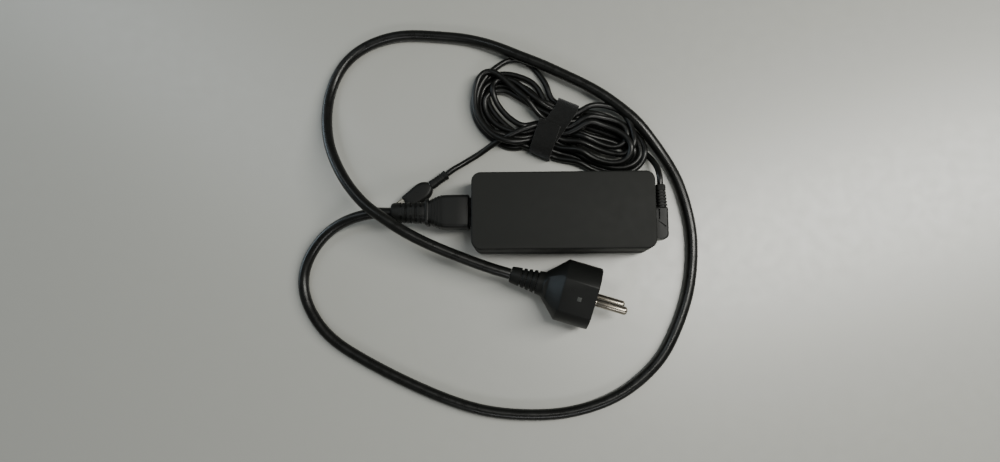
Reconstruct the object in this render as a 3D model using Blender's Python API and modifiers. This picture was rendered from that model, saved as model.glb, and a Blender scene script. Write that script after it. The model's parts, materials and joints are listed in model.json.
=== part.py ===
"""Laptop power adapter: brick, detachable mains lead and captive USB-C lead.

Metres, +Z up. The origin is the centre of the brick's underside, +X runs along the brick towards
its DC outlet, and the object lies on the plane z = 0. Run it with blender --background --python.
"""

import math

import bmesh
import bpy
from mathutils import Matrix, Vector

MM = 0.001
GAP = 0.3 * MM          # left between pieces that touch on the real object
MERGE = 0.01 * MM

# Brick
LENGTH = 108 * MM
WIDTH = 46 * MM
HEIGHT = 29 * MM
CORNER = 5.5 * MM       # radius of the upright corners
EDGE = 1.0 * MM         # radius of the top and bottom edges
WALL = 2.2 * MM
SEAM = 12 * MM          # height of the joint between the two shells
LIP = 2.4 * MM          # how far the lower shell's tongue stands above the seam
AXIS_Z = 14.5 * MM      # height of the inlet's and the DC outlet's axes
INLET_Y = 1.1 * MM      # how far the inlet's axis is behind the brick's middle
END_X = LENGTH / 2

# Mains inlet and the three contacts of its connector (y, z from the connector's axis)
CONTACTS = {
    "line": (-5.0 * MM, 2.75 * MM),
    "neutral": (5.0 * MM, 2.75 * MM),
    "earth": (0.0, -2.75 * MM),
}
LOBE_RADIUS = 3.7 * MM
INLET_HALF_Y = 10.4 * MM
INLET_HALF_Z = 8.2 * MM
INLET_DEPTH = 17.5 * MM
RECESS_DEPTH = 15.0 * MM
INLET_PIN_RADIUS = 1.15 * MM
SOCKET_INNER = INLET_PIN_RADIUS + GAP
SOCKET_OUTER = SOCKET_INNER + 0.45 * MM

# Mains connector, measured along -X from the brick's end
CONNECTOR_GAP = 2.0 * MM
CONNECTOR_X = -END_X - CONNECTOR_GAP
NOSE_REACH = 14.4 * MM  # how far the nose goes into the inlet
BOOT_END_X = -103.3 * MM

# Mains plug: where the centre of its face is, which way it points and how it is rolled
PLUG_FACE = (18.0 * MM, -51.7 * MM, 17.8 * MM)
PLUG_HEADING = math.radians(-16.9)
PLUG_ROLL = math.radians(12.8)
PLUG_RADIUS = 18.5 * MM
PLUG_FLAT = 16.0 * MM
PLUG_BODY = 20 * MM
PLUG_NECK_X = -32 * MM
PLUG_END_X = -51.5 * MM
PIN_RADIUS = 2.4 * MM
PIN_LENGTH = 19 * MM
PIN_SPACING = 19 * MM
EARTH_SOCKET_Y = 10 * MM

# USB-C plug: centre of its front face and its heading
USB_FACE = (-96.5 * MM, 8.8 * MM, 3.4 * MM)
USB_HEADING = math.radians(-144.2)
USB_JOINT_X = -18.8 * MM
USB_END_X = -31.3 * MM
USB_SHELL_HALF_Y = 4.17 * MM
USB_SHELL_HALF_Z = 1.28 * MM
USB_SHELL_WALL = 0.32 * MM
USB_REACH = 6.65 * MM

# Cords
MAINS_RADIUS = 3.35 * MM
DC_RADIUS = 1.7 * MM
STRAIGHT = 12 * MM      # how far the mains cord runs on in line with its connector
ELBOW_X = 59.3 * MM
ELBOW_END_Y = 17 * MM

# Hank of the DC cord and its strap
TIE_CENTRE = (-4.0 * MM, 55.5 * MM)
TIE_HEADING = math.radians(-24)
TIE_WIDTH = 14 * MM
TIE_THICK = 1.2 * MM
BUNDLE_HALF = 17.2 * MM
HANK_LOW = 1.6 * MM
HANK_HIGH = 10.4 * MM

# Circuit board and what stands on it
BOARD_LOW = 6.0 * MM
BOARD_TOP = 7.6 * MM
STAND = BOARD_TOP + GAP

# Routes, in millimetres, through which smooth centrelines are drawn
MAINS_ROUTE = (
    (-37, -35, 18.2), (-45, -32.6, 18.6), (-60, -27, 19.6), (-75, -21, 21.2), (-88, -15, 22.9),
    (-97, -10, 24.0), (-103, -6, 24.5), (-110, -1, 24.7), (-115, 2, 24.4), (-123, 10, 22.4),
    (-133, 23, 18.6), (-143, 43, 13.0), (-147, 63, 7.6), (-146, 81, 4.3), (-140, 97, 3.4),
    (-130, 108, 3.4), (-117, 115, 3.4), (-100, 119, 3.4), (-79, 118, 3.4), (-60, 116, 3.4),
    (-46, 112, 4.6), (-36, 107.5, 7.0), (-26, 102.6, 7.6), (-12, 97, 7.6), (2, 90, 7.6),
    (16, 83, 7.6), (29, 75, 7.6), (40, 66, 7.6), (48, 59, 7.4), (58, 46, 5.0),
    (65, 36, 3.6), (72, 23, 3.4), (76, 10, 3.4), (79, -4, 3.4), (80, -20, 3.4),
    (77, -45, 3.4), (69, -68, 3.4), (57, -89, 3.4), (34, -108, 3.4), (6, -118, 3.4),
    (-22, -120, 3.4), (-50, -117, 3.4), (-80, -107, 3.4), (-116, -90, 3.4), (-143, -73, 3.4),
    (-157, -53, 3.4), (-160, -37, 3.5), (-156, -24, 4.6), (-148, -13, 6.8), (-138, -5.4, 9.6),
    (-127, -1.2, 12.7),
)
DC_LEAD_ROUTE = ((59.3, 22, 14.4), (58.4, 28, 12.6), (56.2, 33.6, 10.2), (52.7, 38.6, 8.0))
DC_TAIL_ROUTE = ((-66.8, 30.4, 3.2), (-60, 35, 2.4), (-52, 40.6, 2.4), (-39.4, 49.4, 4.2))
LOOP_LEFT_ROUTE = (
    (-39.2, 95.4, 3.0), (-34, 99, 2.2), (-28.5, 101.2, 1.9), (-22.5, 101.4, 1.9),
    (-16, 99, 1.9), (-10.4, 94.5, 1.9), (-6.5, 89, 2.0), (-4.2, 84, 2.4), (-4.4, 76.8, 2.8),
)
LOOP_RIGHT_ROUTE = (
    (12.9, 68.9, 3.0), (19, 70.4, 2.4), (26, 70.9, 1.9), (33, 70.6, 1.9), (38.4, 68.4, 1.9),
    (42.6, 64.4, 1.9), (45.2, 59, 2.1), (46.2, 53.2, 3.0),
)
HANK_OUTLINE = (
    (-53.5, 71), (-52, 80), (-47.3, 88), (-40, 93.2), (-31, 93.2), (-21, 87.8), (-13, 79.8),
    (-4.8, 74.2), (2.8, 70.6), (10.2, 67.4), (16, 65.6), (22, 64.4), (32, 61.6), (41, 55.5),
    (47.5, 47.5), (50.5, 40), (48, 32.6), (41, 28.8), (31, 27.4), (20, 28.6), (12, 31.2),
    (4.1, 33.9), (-3.5, 36.9), (-10.9, 40.3), (-18.1, 43.3), (-25, 45.8), (-35, 48.6), (-44, 53.8),
    (-50.5, 62),
)

PARTS = None
CUTTERS = None
MATERIALS = {}


# ---------------------------------------------------------------- scene and materials

def clear_scene():
    for item in list(bpy.data.objects):
        bpy.data.objects.remove(item)


def make_collection(name):
    collection = bpy.data.collections.new(name)
    bpy.context.scene.collection.children.link(collection)
    return collection


def material(name, colour, roughness, metallic=0.0):
    made = bpy.data.materials.new(name)
    made.use_nodes = True
    shader = made.node_tree.nodes["Principled BSDF"]
    shader.inputs["Base Color"].default_value = (*colour, 1)
    shader.inputs["Roughness"].default_value = roughness
    shader.inputs["Metallic"].default_value = metallic
    made.diffuse_color = (*colour, 1)
    return made


def finish(name, mesh, look, parent=None):
    """A new object in the parts collection, with a material of its own."""
    item = bpy.data.objects.new(name, mesh)
    PARTS.objects.link(item)
    item.data.materials.clear()
    item.data.materials.append(material(name, *LOOKS[look]))
    item.parent = parent
    return item


def as_cutter(item):
    PARTS.objects.unlink(item)
    CUTTERS.objects.link(item)
    item.hide_render = True
    item.display_type = "WIRE"


def combine(target, tool, operation="DIFFERENCE"):
    """Cuts tool from target, or joins or intersects them. The tool becomes a hidden cutter."""
    change = target.modifiers.new(operation.lower(), "BOOLEAN")
    change.operation = operation
    change.solver = "EXACT"
    change.object = tool
    as_cutter(tool)


def place(name, location, heading=0.0, roll=0.0):
    """An empty that holds a piece's own frame: +X forward, turned about Z and rolled about X."""
    empty = bpy.data.objects.new(name, None)
    CUTTERS.objects.link(empty)
    empty.location = location
    empty.rotation_euler = (roll, 0, heading)
    return empty


LOOKS = {
    "case": ((0.028, 0.028, 0.029), 0.62),
    "moulded": ((0.022, 0.022, 0.023), 0.5),
    "cord": ((0.012, 0.012, 0.012), 0.35),
    "fabric": ((0.010, 0.010, 0.010), 0.95),
    "label": ((0.05, 0.05, 0.052), 0.5),
    "insulator": ((0.75, 0.73, 0.66), 0.4),
    "aluminium": ((0.78, 0.79, 0.80), 0.35, 1.0),
    "nickel": ((0.66, 0.64, 0.60), 0.22, 1.0),
    "brass": ((0.72, 0.56, 0.28), 0.3, 1.0),
    "board": ((0.03, 0.20, 0.09), 0.5),
    "ferrite": ((0.09, 0.09, 0.09), 0.6),
    "copper": ((0.72, 0.34, 0.16), 0.35, 1.0),
    "tape": ((0.80, 0.62, 0.10), 0.4),
    "phenolic": ((0.02, 0.02, 0.02), 0.45),
    "blue": ((0.06, 0.16, 0.45), 0.4),
    "yellow": ((0.75, 0.60, 0.08), 0.5),
    "chip": ((0.015, 0.015, 0.015), 0.45),
    "sleeve": ((0.02, 0.02, 0.03), 0.35),
    "pad": ((0.45, 0.50, 0.62), 0.9),
    "ceramic": ((0.80, 0.78, 0.70), 0.4),
}


# ---------------------------------------------------------------- shapes

def block(name, look, low, high, corner=0.0, edge=0.0, parent=None, ends="both"):
    """A box from low to high. corner rounds its upright edges, and edge its top or bottom rim."""
    low, high = Vector(low), Vector(high)
    shape = bmesh.new()
    bmesh.ops.create_cube(shape, size=1)
    bmesh.ops.transform(shape, matrix=Matrix.Diagonal((*(high - low), 1)), verts=shape.verts)
    bmesh.ops.translate(shape, vec=(low + high) / 2, verts=shape.verts)
    if corner:
        upright = [e for e in shape.edges if abs(e.verts[0].co.z - e.verts[1].co.z) > MERGE]
        bmesh.ops.bevel(shape, geom=upright, offset=corner, segments=4, profile=0.5,
                        affect="EDGES")
    if edge:
        levels = {"both": (low.z, high.z), "top": (high.z,), "bottom": (low.z,)}[ends]
        rim = [e for e in shape.edges
               if any(all(abs(v.co.z - z) < MERGE for v in e.verts) for z in levels)]
        bmesh.ops.bevel(shape, geom=rim, offset=edge, segments=2, profile=0.5, affect="EDGES")
    mesh = bpy.data.meshes.new(name)
    shape.to_mesh(mesh)
    shape.free()
    return finish(name, mesh, look, parent)


def rod(name, look, start, end, radius, sides=20, parent=None, tip=None):
    """A cylinder from start to end, or a cone if tip gives the radius at its end."""
    start, end = Vector(start), Vector(end)
    shape = bmesh.new()
    bmesh.ops.create_cone(shape, cap_ends=True, segments=sides, radius1=radius,
                          radius2=radius if tip is None else tip, depth=(end - start).length)
    turn = (end - start).to_track_quat("Z", "Y").to_matrix().to_4x4()
    bmesh.ops.transform(shape, matrix=Matrix.Translation((start + end) / 2) @ turn,
                        verts=shape.verts)
    mesh = bpy.data.meshes.new(name)
    shape.to_mesh(mesh)
    shape.free()
    mesh.shade_smooth()
    mesh.set_sharp_from_angle(angle=math.radians(40))
    return finish(name, mesh, look, parent)


def turned(name, look, profile, steps, parent=None):
    """A solid of revolution about the X axis. The profile's (x, radius) points run from its
    front end on the axis, down the outer side, to its back end on the axis."""
    mesh = bpy.data.meshes.new(name)
    points = [(radius, 0, x) for x, radius in profile]
    mesh.from_pydata(points, [(i, i + 1) for i in range(len(points) - 1)], [])
    item = finish(name, mesh, look, parent)
    item.rotation_euler = (0, math.radians(90), 0)
    spin = item.modifiers.new("spin", "SCREW")
    spin.axis = "Z"
    spin.steps = steps
    spin.render_steps = steps
    spin.use_merge_vertices = True
    spin.merge_threshold = MERGE
    return item


def outline_solid(name, look, loops, depth, matrix, parent=None):
    """A flat outline, with any holes, extruded to depth, centred on its own plane and put in
    place by matrix. It is a welded mesh, so that it can be cut."""
    curve = bpy.data.curves.new(name, "CURVE")
    curve.dimensions = "2D"
    curve.fill_mode = "BOTH"
    curve.extrude = depth / 2
    for loop in loops:
        spline = curve.splines.new("POLY")
        spline.points.add(len(loop) - 1)
        for point, (x, y) in zip(spline.points, loop):
            point.co = (x, y, 0, 1)
        spline.use_cyclic_u = True
    return welded(name, look, curve, matrix, parent)


def welded(name, look, curve, matrix, parent):
    """Makes a curve's evaluated surface a closed mesh object."""
    guide = bpy.data.objects.new(name + "_curve", curve)
    bpy.context.scene.collection.objects.link(guide)
    evaluated = guide.evaluated_get(bpy.context.evaluated_depsgraph_get())
    mesh = bpy.data.meshes.new_from_object(evaluated)
    bpy.data.objects.remove(guide)
    shape = bmesh.new()
    shape.from_mesh(mesh)
    bmesh.ops.remove_doubles(shape, verts=shape.verts, dist=MERGE)
    bmesh.ops.recalc_face_normals(shape, faces=shape.faces)
    shape.transform(matrix)
    shape.to_mesh(mesh)
    shape.free()
    return finish(name, mesh, look, parent)


def rounded_section(half_y, half_z, radius, segments=3):
    """The (y, z) points of a rectangle with round corners, anticlockwise."""
    points = []
    for quarter in range(4):
        sign_y = (1, -1, -1, 1)[quarter]
        sign_z = (1, 1, -1, -1)[quarter]
        for step in range(segments + 1):
            angle = math.radians(90) * (quarter + step / segments)
            points.append((sign_y * (half_y - radius) + radius * math.cos(angle),
                           sign_z * (half_z - radius) + radius * math.sin(angle)))
    return points


def loft(name, look, stations, parent=None, segments=3):
    """A closed solid through rounded-rectangle sections (x, half_y, half_z, radius, y, z)."""
    shape = bmesh.new()
    rings = []
    for x, half_y, half_z, radius, y, z in stations:
        section = rounded_section(half_y, half_z, radius, segments)
        rings.append([shape.verts.new((x, y + a, z + b)) for a, b in section])
    count = len(rings[0])
    for near, far in zip(rings, rings[1:]):
        for i in range(count):
            j = (i + 1) % count
            shape.faces.new((near[i], near[j], far[j], far[i]))
    shape.faces.new(rings[0])
    shape.faces.new(rings[-1])
    bmesh.ops.recalc_face_normals(shape, faces=shape.faces)
    mesh = bpy.data.meshes.new(name)
    shape.to_mesh(mesh)
    shape.free()
    mesh.shade_smooth()
    mesh.set_sharp_from_angle(angle=math.radians(35))
    return finish(name, mesh, look, parent)


def smooth_line(points, count, closed=False):
    """count evenly spaced points along a smooth curve through the given ones."""
    points = [Vector(p) for p in points]
    size = len(points)
    fine = []
    for i in range(size if closed else size - 1):
        if closed:
            a, b, c, d = (points[(i + k) % size] for k in (-1, 0, 1, 2))
        else:
            b, c = points[i], points[i + 1]
            a = points[i - 1] if i else b + (b - c)
            d = points[i + 2] if i + 2 < size else c + (c - b)
        for step in range(12):
            t = step / 12
            fine.append(0.5 * (2 * b + (c - a) * t + (2 * a - 5 * b + 4 * c - d) * t ** 2
                               + (3 * b - a - 3 * c + d) * t ** 3))
    fine.append(points[0] if closed else points[-1])
    along = [0.0]
    for a, b in zip(fine, fine[1:]):
        along.append(along[-1] + (b - a).length)
    result = []
    k = 0
    for i in range(count):
        at = along[-1] * i / (count if closed else count - 1)
        while k < len(fine) - 2 and along[k + 1] < at:
            k += 1
        share = (at - along[k]) / (along[k + 1] - along[k])
        result.append(fine[k].lerp(fine[k + 1], min(1.0, share)))
    return result


def tube(name, look, points, radius, resolution):
    """A round cord along a line of points, with flat ends."""
    curve = bpy.data.curves.new(name, "CURVE")
    curve.dimensions = "3D"
    curve.bevel_depth = radius
    curve.bevel_resolution = resolution
    curve.use_fill_caps = True
    spline = curve.splines.new("POLY")
    spline.points.add(len(points) - 1)
    for point, co in zip(spline.points, points):
        point.co = (*co, 1)
    return finish(name, curve, look)


def in_metres(route):
    return [Vector(p) * MM for p in route]


# ---------------------------------------------------------------- brick casing

def top_shell():
    shell = block("top_shell", "case", (-END_X, -WIDTH / 2, SEAM + GAP / 2),
                  (END_X, WIDTH / 2, HEIGHT), corner=CORNER, edge=EDGE, ends="top")
    inside = (END_X - WALL, WIDTH / 2 - WALL)
    combine(shell, block("top_hollow", "case", (-inside[0], -inside[1], 0),
                         (inside[0], inside[1], HEIGHT - WALL), corner=CORNER - WALL))
    rebate = WALL / 2 - GAP / 2
    combine(shell, block("top_rebate", "case",
                         (rebate - END_X, rebate - WIDTH / 2, 0),
                         (END_X - rebate, WIDTH / 2 - rebate, SEAM + LIP + GAP),
                         corner=CORNER - rebate))
    cut_openings(shell, "top")


def bottom_shell():
    shell = block("bottom_shell", "case", (-END_X, -WIDTH / 2, 0),
                  (END_X, WIDTH / 2, SEAM - GAP / 2), corner=CORNER, edge=EDGE, ends="bottom")
    tongue = WALL / 2 + GAP / 2
    combine(shell, block("tongue", "case", (tongue - END_X, tongue - WIDTH / 2, WALL),
                         (END_X - tongue, WIDTH / 2 - tongue, SEAM + LIP),
                         corner=CORNER - tongue), "UNION")
    inside = (END_X - WALL, WIDTH / 2 - WALL)
    combine(shell, block("bottom_hollow", "case", (-inside[0], -inside[1], WALL),
                         (inside[0], inside[1], HEIGHT), corner=CORNER - WALL))
    cut_openings(shell, "bottom")
    combine(shell, block("label_pocket", "case", (-41 * MM, -17 * MM, -1 * MM),
                         (41 * MM, 17 * MM, 0.5 * MM), corner=2 * MM))


def cut_openings(shell, which):
    """The mains inlet's and the DC outlet's openings, which both shells share."""
    combine(shell, block(which + "_inlet_opening", "case",
                         (-END_X - 1 * MM, INLET_Y - INLET_HALF_Y - GAP,
                          AXIS_Z - INLET_HALF_Z - GAP),
                         (-END_X + WALL + 1 * MM, INLET_Y + INLET_HALF_Y + GAP,
                          AXIS_Z + INLET_HALF_Z + GAP)))
    combine(shell, block(which + "_outlet_opening", "case",
                         (END_X - WALL - 1 * MM, -11.3 * MM, AXIS_Z - 3.8 * MM),
                         (END_X + 1 * MM, -2.7 * MM, AXIS_Z + 3.8 * MM)))


def rating_label():
    block("rating_label", "label", (-40.5 * MM, -16.5 * MM, 0.1 * MM),
          (40.5 * MM, 16.5 * MM, 0.2 * MM), corner=1.7 * MM)


# ---------------------------------------------------------------- mains inlet

def clover(radius_change):
    """The inlet's three-lobed outline in (y, z), from rays to the union of its circles."""
    circles = [(y, z, LOBE_RADIUS) for y, z in CONTACTS.values()] + [(0, 0, 4.4 * MM)]
    points = []
    for step in range(48):
        angle = math.radians(7.5 * step)
        reach = 0.0
        for y, z, radius in circles:
            along = y * math.cos(angle) + z * math.sin(angle)
            aside = y * y + z * z - along * along
            rest = (radius + radius_change) ** 2 - aside
            if rest > 0:
                reach = max(reach, along + math.sqrt(rest))
        points.append((reach * math.cos(angle), reach * math.sin(angle)))
    return points


def facing_x(x, z=AXIS_Z, y=0):
    """Turns an outline's (x, y) plane into the row's (y, z) plane at x."""
    turn = Matrix(((0, 0, 1, 0), (1, 0, 0, 0), (0, 1, 0, 0), (0, 0, 0, 1)))
    return Matrix.Translation((x, y, z)) @ turn


def inlet():
    back = -END_X + INLET_DEPTH
    housing = block("inlet_housing", "phenolic",
                    (-END_X + GAP, INLET_Y - INLET_HALF_Y, AXIS_Z - INLET_HALF_Z),
                    (back, INLET_Y + INLET_HALF_Y, AXIS_Z + INLET_HALF_Z))
    combine(housing, outline_solid("inlet_recess", "phenolic", [clover(GAP)],
                                   2 * RECESS_DEPTH, facing_x(-END_X, y=INLET_Y)))
    for name, (y, z) in CONTACTS.items():
        pin_end = -END_X + (3.5 if name == "earth" else 5) * MM
        y, z = INLET_Y + y, AXIS_Z + z
        rod("inlet_pin_" + name, "nickel", (pin_end, y, z), (back + 5 * MM, y, z),
            INLET_PIN_RADIUS, sides=16)
        combine(housing, rod("inlet_hole_" + name, "phenolic", (back - 4 * MM, y, z),
                             (back + 1 * MM, y, z), INLET_PIN_RADIUS + GAP, sides=16))


# ---------------------------------------------------------------- mains connector

def mains_connector():
    """The connector slides out of the inlet along -X, so its frame is on that axis."""
    frame = place("mains_connector_place", (CONNECTOR_X, INLET_Y, AXIS_Z))
    end = BOOT_END_X - CONNECTOR_X
    stations = [(0, 10.1, 6.8, 2.2), (-15, 10.1, 6.8, 2.4), (-18.5, 9.7, 6.8, 2.8),
                (-21.5, 8.9, 6.7, 3.2), (-23.3, 7.9, 6.6, 3.4), (-24.3, 6.8, 6.5, 3.6),
                (-24.3, 8.0, 7.0, 3.6), (-26.6, 8.0, 7.0, 3.6), (-26.6, 6.5, 6.3, 4.5)]
    for rib in range(5):
        x = -28.6 - 2.6 * rib
        wide = 6.4 - 0.05 * rib
        stations += [(x, wide, wide, 4.8), (x, 5.2, 5.2, 4), (x - 1.1, 5.2, 5.2, 4),
                     (x - 1.1, wide, wide, 4.8)]
    stations += [(-42.0, 6.1, 6.1, 5), (-44.5, 6.0, 6.0, 5.2), (end / MM + 1, 5.9, 5.9, 5.4),
                 (end / MM, 5.0, 5.0, 4.8)]
    body = loft("mains_connector_overmould", "moulded",
                [(x * MM, y * MM, z * MM, r * MM, 0, 0) for x, y, z, r in stations], frame)
    combine(body, block("insert_pocket", "moulded", (-12.3 * MM, -8.3 * MM, -5.3 * MM),
                        (1 * MM, 8.3 * MM, 5.3 * MM), parent=frame))
    connector_insert(frame)


def connector_insert(frame):
    tip = CONNECTOR_GAP + NOSE_REACH
    nose = outline_solid("mains_connector_insert", "phenolic", [clover(0)], tip - GAP,
                         facing_x((tip + GAP) / 2, 0), frame)
    combine(nose, block("insert_root", "phenolic", (-12 * MM, -8 * MM, -5 * MM),
                        (GAP + 0.5 * MM, 8 * MM, 5 * MM), parent=frame), "UNION")
    for name, (y, z) in CONTACTS.items():
        combine(nose, rod("contact_hole_" + name, "phenolic", (-13 * MM, y, z),
                          (tip + 1 * MM, y, z), SOCKET_OUTER + GAP, sides=16, parent=frame))
        socket = rod("mains_contact_" + name, "brass", (-11.5 * MM, y, z),
                     (tip - 1 * MM, y, z), SOCKET_OUTER, sides=16, parent=frame)
        combine(socket, rod("contact_bore_" + name, "brass", (-10 * MM, y, z),
                            (tip + 1 * MM, y, z), SOCKET_INNER, sides=16, parent=frame))


# ---------------------------------------------------------------- mains plug

def plug_profile():
    """(x, radius) of the plug from its face back to the end of its ribbed relief."""
    profile = [(0, 0), (0, 18.2), (-0.3, 18.5), (-20, 18.5), (-21.2, 17.6), (-31, 7.6),
               (-33.5, 7.2)]
    for rib in range(4):
        x = -35.2 - 3.1 * rib
        radius = 7.0 - 0.42 * rib
        profile += [(x, radius), (x - 0.1, radius - 1.3), (x - 1.2, radius - 1.3),
                    (x - 1.3, radius - 0.1)]
    profile += [(-51.0, 4.9), (-51.5, 4.4), (-51.5, 0)]
    return [(x * MM, radius * MM) for x, radius in profile]


def along_side(parent_x=0.0):
    """Turns an outline's (x, y) plane into a plug's (x, z) plane."""
    turn = Matrix(((1, 0, 0, 0), (0, 0, -1, 0), (0, 1, 0, 0), (0, 0, 0, 1)))
    return Matrix.Translation((parent_x, 0, 0)) @ turn


def mains_plug():
    frame = place("mains_plug_place", PLUG_FACE, PLUG_HEADING, PLUG_ROLL)
    body = turned("plug_overmould", "moulded", plug_profile(), 32, frame)
    flat = PLUG_FLAT / MM
    upper = [(1, flat), (-19.5, flat), (-27.5, 8.4), (-33, 7.8), (-53, 7.8)]
    side = [(x * MM, z * MM) for x, z in upper + [(x, -z) for x, z in reversed(upper)]]
    combine(body, outline_solid("plug_flats", "moulded", [side], 40 * MM, along_side(), frame),
            "INTERSECT")
    recess = rounded_section(15.4 * MM + GAP, 12.6 * MM + GAP, 9 * MM, 5)
    combine(body, outline_solid("plug_recess", "moulded", [recess], 20 * MM, facing_x(0, 0),
                                frame))
    combine(body, outline_solid("plug_channel", "moulded", [earth_strip_outline(GAP)],
                                5.2 * MM, Matrix.Identity(4), frame))
    combine(body, rod("plug_socket_room", "moulded", (-16 * MM, EARTH_SOCKET_Y, 0),
                      (1 * MM, EARTH_SOCKET_Y, 0), 3.0 * MM + GAP, sides=20, parent=frame))
    plug_bridge(frame)
    for name, side_z in (("lower", -1), ("upper", 1)):
        plug_pin("plug_pin_" + name, side_z * PIN_SPACING / 2, frame)
    strip = outline_solid("plug_earth_strip", "nickel", [earth_strip_outline(0)], 4.6 * MM,
                          Matrix.Identity(4), frame)
    combine(strip, rod("earth_socket_wall", "nickel", (-15.9 * MM, EARTH_SOCKET_Y, 0),
                       (-0.8 * MM, EARTH_SOCKET_Y, 0), 3.0 * MM, sides=20, parent=frame),
            "UNION")
    combine(strip, rod("earth_socket_bore", "nickel", (-14.5 * MM, EARTH_SOCKET_Y, 0),
                       (1 * MM, EARTH_SOCKET_Y, 0), 2.5 * MM, sides=20, parent=frame))


def earth_strip_outline(room):
    """A U across the plug: a strip down each side and a bridge behind the pin carrier."""
    front = (-0.6 * MM + room) if not room else 2 * MM
    outer = 17.9 * MM if not room else 20 * MM
    inner = 17.2 * MM - room
    back = -16.6 * MM - room
    bridge = -15.8 * MM + room
    return [(front, outer), (back, outer), (back, -outer), (front, -outer), (front, -inner),
            (bridge, -inner), (bridge, inner), (front, inner)]


def plug_bridge(frame):
    """The hard carrier that holds the pins, seen as the plug's face."""
    section = rounded_section(15.4 * MM, 12.6 * MM, 9 * MM, 5)
    carrier = outline_solid("plug_pin_carrier", "phenolic", [section], 9.6 * MM,
                            facing_x(-4.8 * MM, 0), frame)
    for side in (-1, 1):
        z = side * PIN_SPACING / 2
        combine(carrier, rod(f"carrier_hole_{side + 1}", "phenolic", (-11 * MM, 0, z),
                             (1 * MM, 0, z), PIN_RADIUS + GAP, sides=20, parent=frame))
    combine(carrier, rod("carrier_earth_hole", "phenolic", (-11 * MM, EARTH_SOCKET_Y, 0),
                         (1 * MM, EARTH_SOCKET_Y, 0), 3.0 * MM + GAP, sides=20, parent=frame))


def plug_pin(name, z, frame):
    """A round pin with a rounded tip, from inside the carrier to its full reach."""
    profile = [(PIN_LENGTH, 0)]
    for step in range(1, 4):
        angle = math.radians(30 * step)
        profile.append((PIN_LENGTH - 1.6 * MM * (1 - math.cos(angle)),
                        PIN_RADIUS - 1.6 * MM * (1 - math.sin(angle))))
    profile += [(-8.5 * MM, PIN_RADIUS), (-8.5 * MM, 0)]
    pin = turned(name, "nickel", profile, 16, frame)
    pin.location = (0, 0, z)


# ---------------------------------------------------------------- USB-C plug

def usb_plug():
    frame = place("usb_c_place", USB_FACE, USB_HEADING)
    stations = [(0, 4.7, 2.9, 1.8), (-0.5, 4.9, 3.15, 2.1), (-6, 5.25, 3.2, 2.2),
                (-12, 5.8, 3.2, 2.4), (-14.5, 5.6, 3.2, 2.5), (-16.6, 4.8, 3.1, 2.6),
                (-18.0, 3.7, 2.9, 2.5), (-18.8, 2.9, 2.6, 2.2)]
    body = loft("usb_c_housing", "moulded",
                [(x * MM, y * MM, z * MM, r * MM, 0, 0) for x, y, z, r in stations], frame)
    mouth = rounded_section(USB_SHELL_HALF_Y + GAP, USB_SHELL_HALF_Z + GAP,
                            USB_SHELL_HALF_Z, 4)
    combine(body, outline_solid("usb_c_cavity", "moulded", [mouth], 28 * MM,
                                facing_x(0, 0), frame))
    usb_relief(frame)
    usb_shell(frame)
    block("usb_c_paddle_board", "board", (-13.5 * MM, -3.6 * MM, -0.3 * MM),
          (-6.6 * MM, 3.6 * MM, 0.3 * MM), parent=frame)


def usb_relief(frame):
    start = USB_JOINT_X / MM - GAP / MM
    stations = [(start, 2.65, 2.55, 2.1), (start - 3.2, 2.65, 2.55, 2.1)]
    for rib in range(3):
        x = start - 4.0 - 2.2 * rib
        stations += [(x, 2.6, 2.5, 2.1), (x, 2.1, 2.1, 1.9), (x - 0.8, 2.1, 2.1, 1.9),
                     (x - 0.8, 2.6, 2.5, 2.1)]
    stations += [(USB_END_X / MM + 0.4, 2.6, 2.5, 2.2), (USB_END_X / MM, 2.2, 2.2, 2.0)]
    loft("usb_c_strain_relief", "moulded",
         [(x * MM, y * MM, z * MM, r * MM, 0, 0) for x, y, z, r in stations], frame)


def usb_shell(frame):
    back = -5.8 * MM
    middle = (USB_REACH + back) / 2
    outer = rounded_section(USB_SHELL_HALF_Y, USB_SHELL_HALF_Z, USB_SHELL_HALF_Z - MERGE, 5)
    thin = USB_SHELL_HALF_Z - USB_SHELL_WALL
    inner = rounded_section(USB_SHELL_HALF_Y - USB_SHELL_WALL, thin, thin - MERGE, 5)
    outline_solid("usb_c_shell", "nickel", [outer, inner], USB_REACH - back,
                  facing_x(middle, 0), frame)
    arm = 0.66
    outline = [(-5.5, arm), (5.9, arm), (5.9, 0.38), (-1.2, 0.38), (-1.2, -0.38),
               (5.9, -0.38), (5.9, -arm), (-5.5, -arm)]
    outline_solid("usb_c_contact_insert", "phenolic", [[(x * MM, z * MM) for x, z in outline]],
                  7.0 * MM, along_side(), frame)


# ---------------------------------------------------------------- DC outlet and cords

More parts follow.
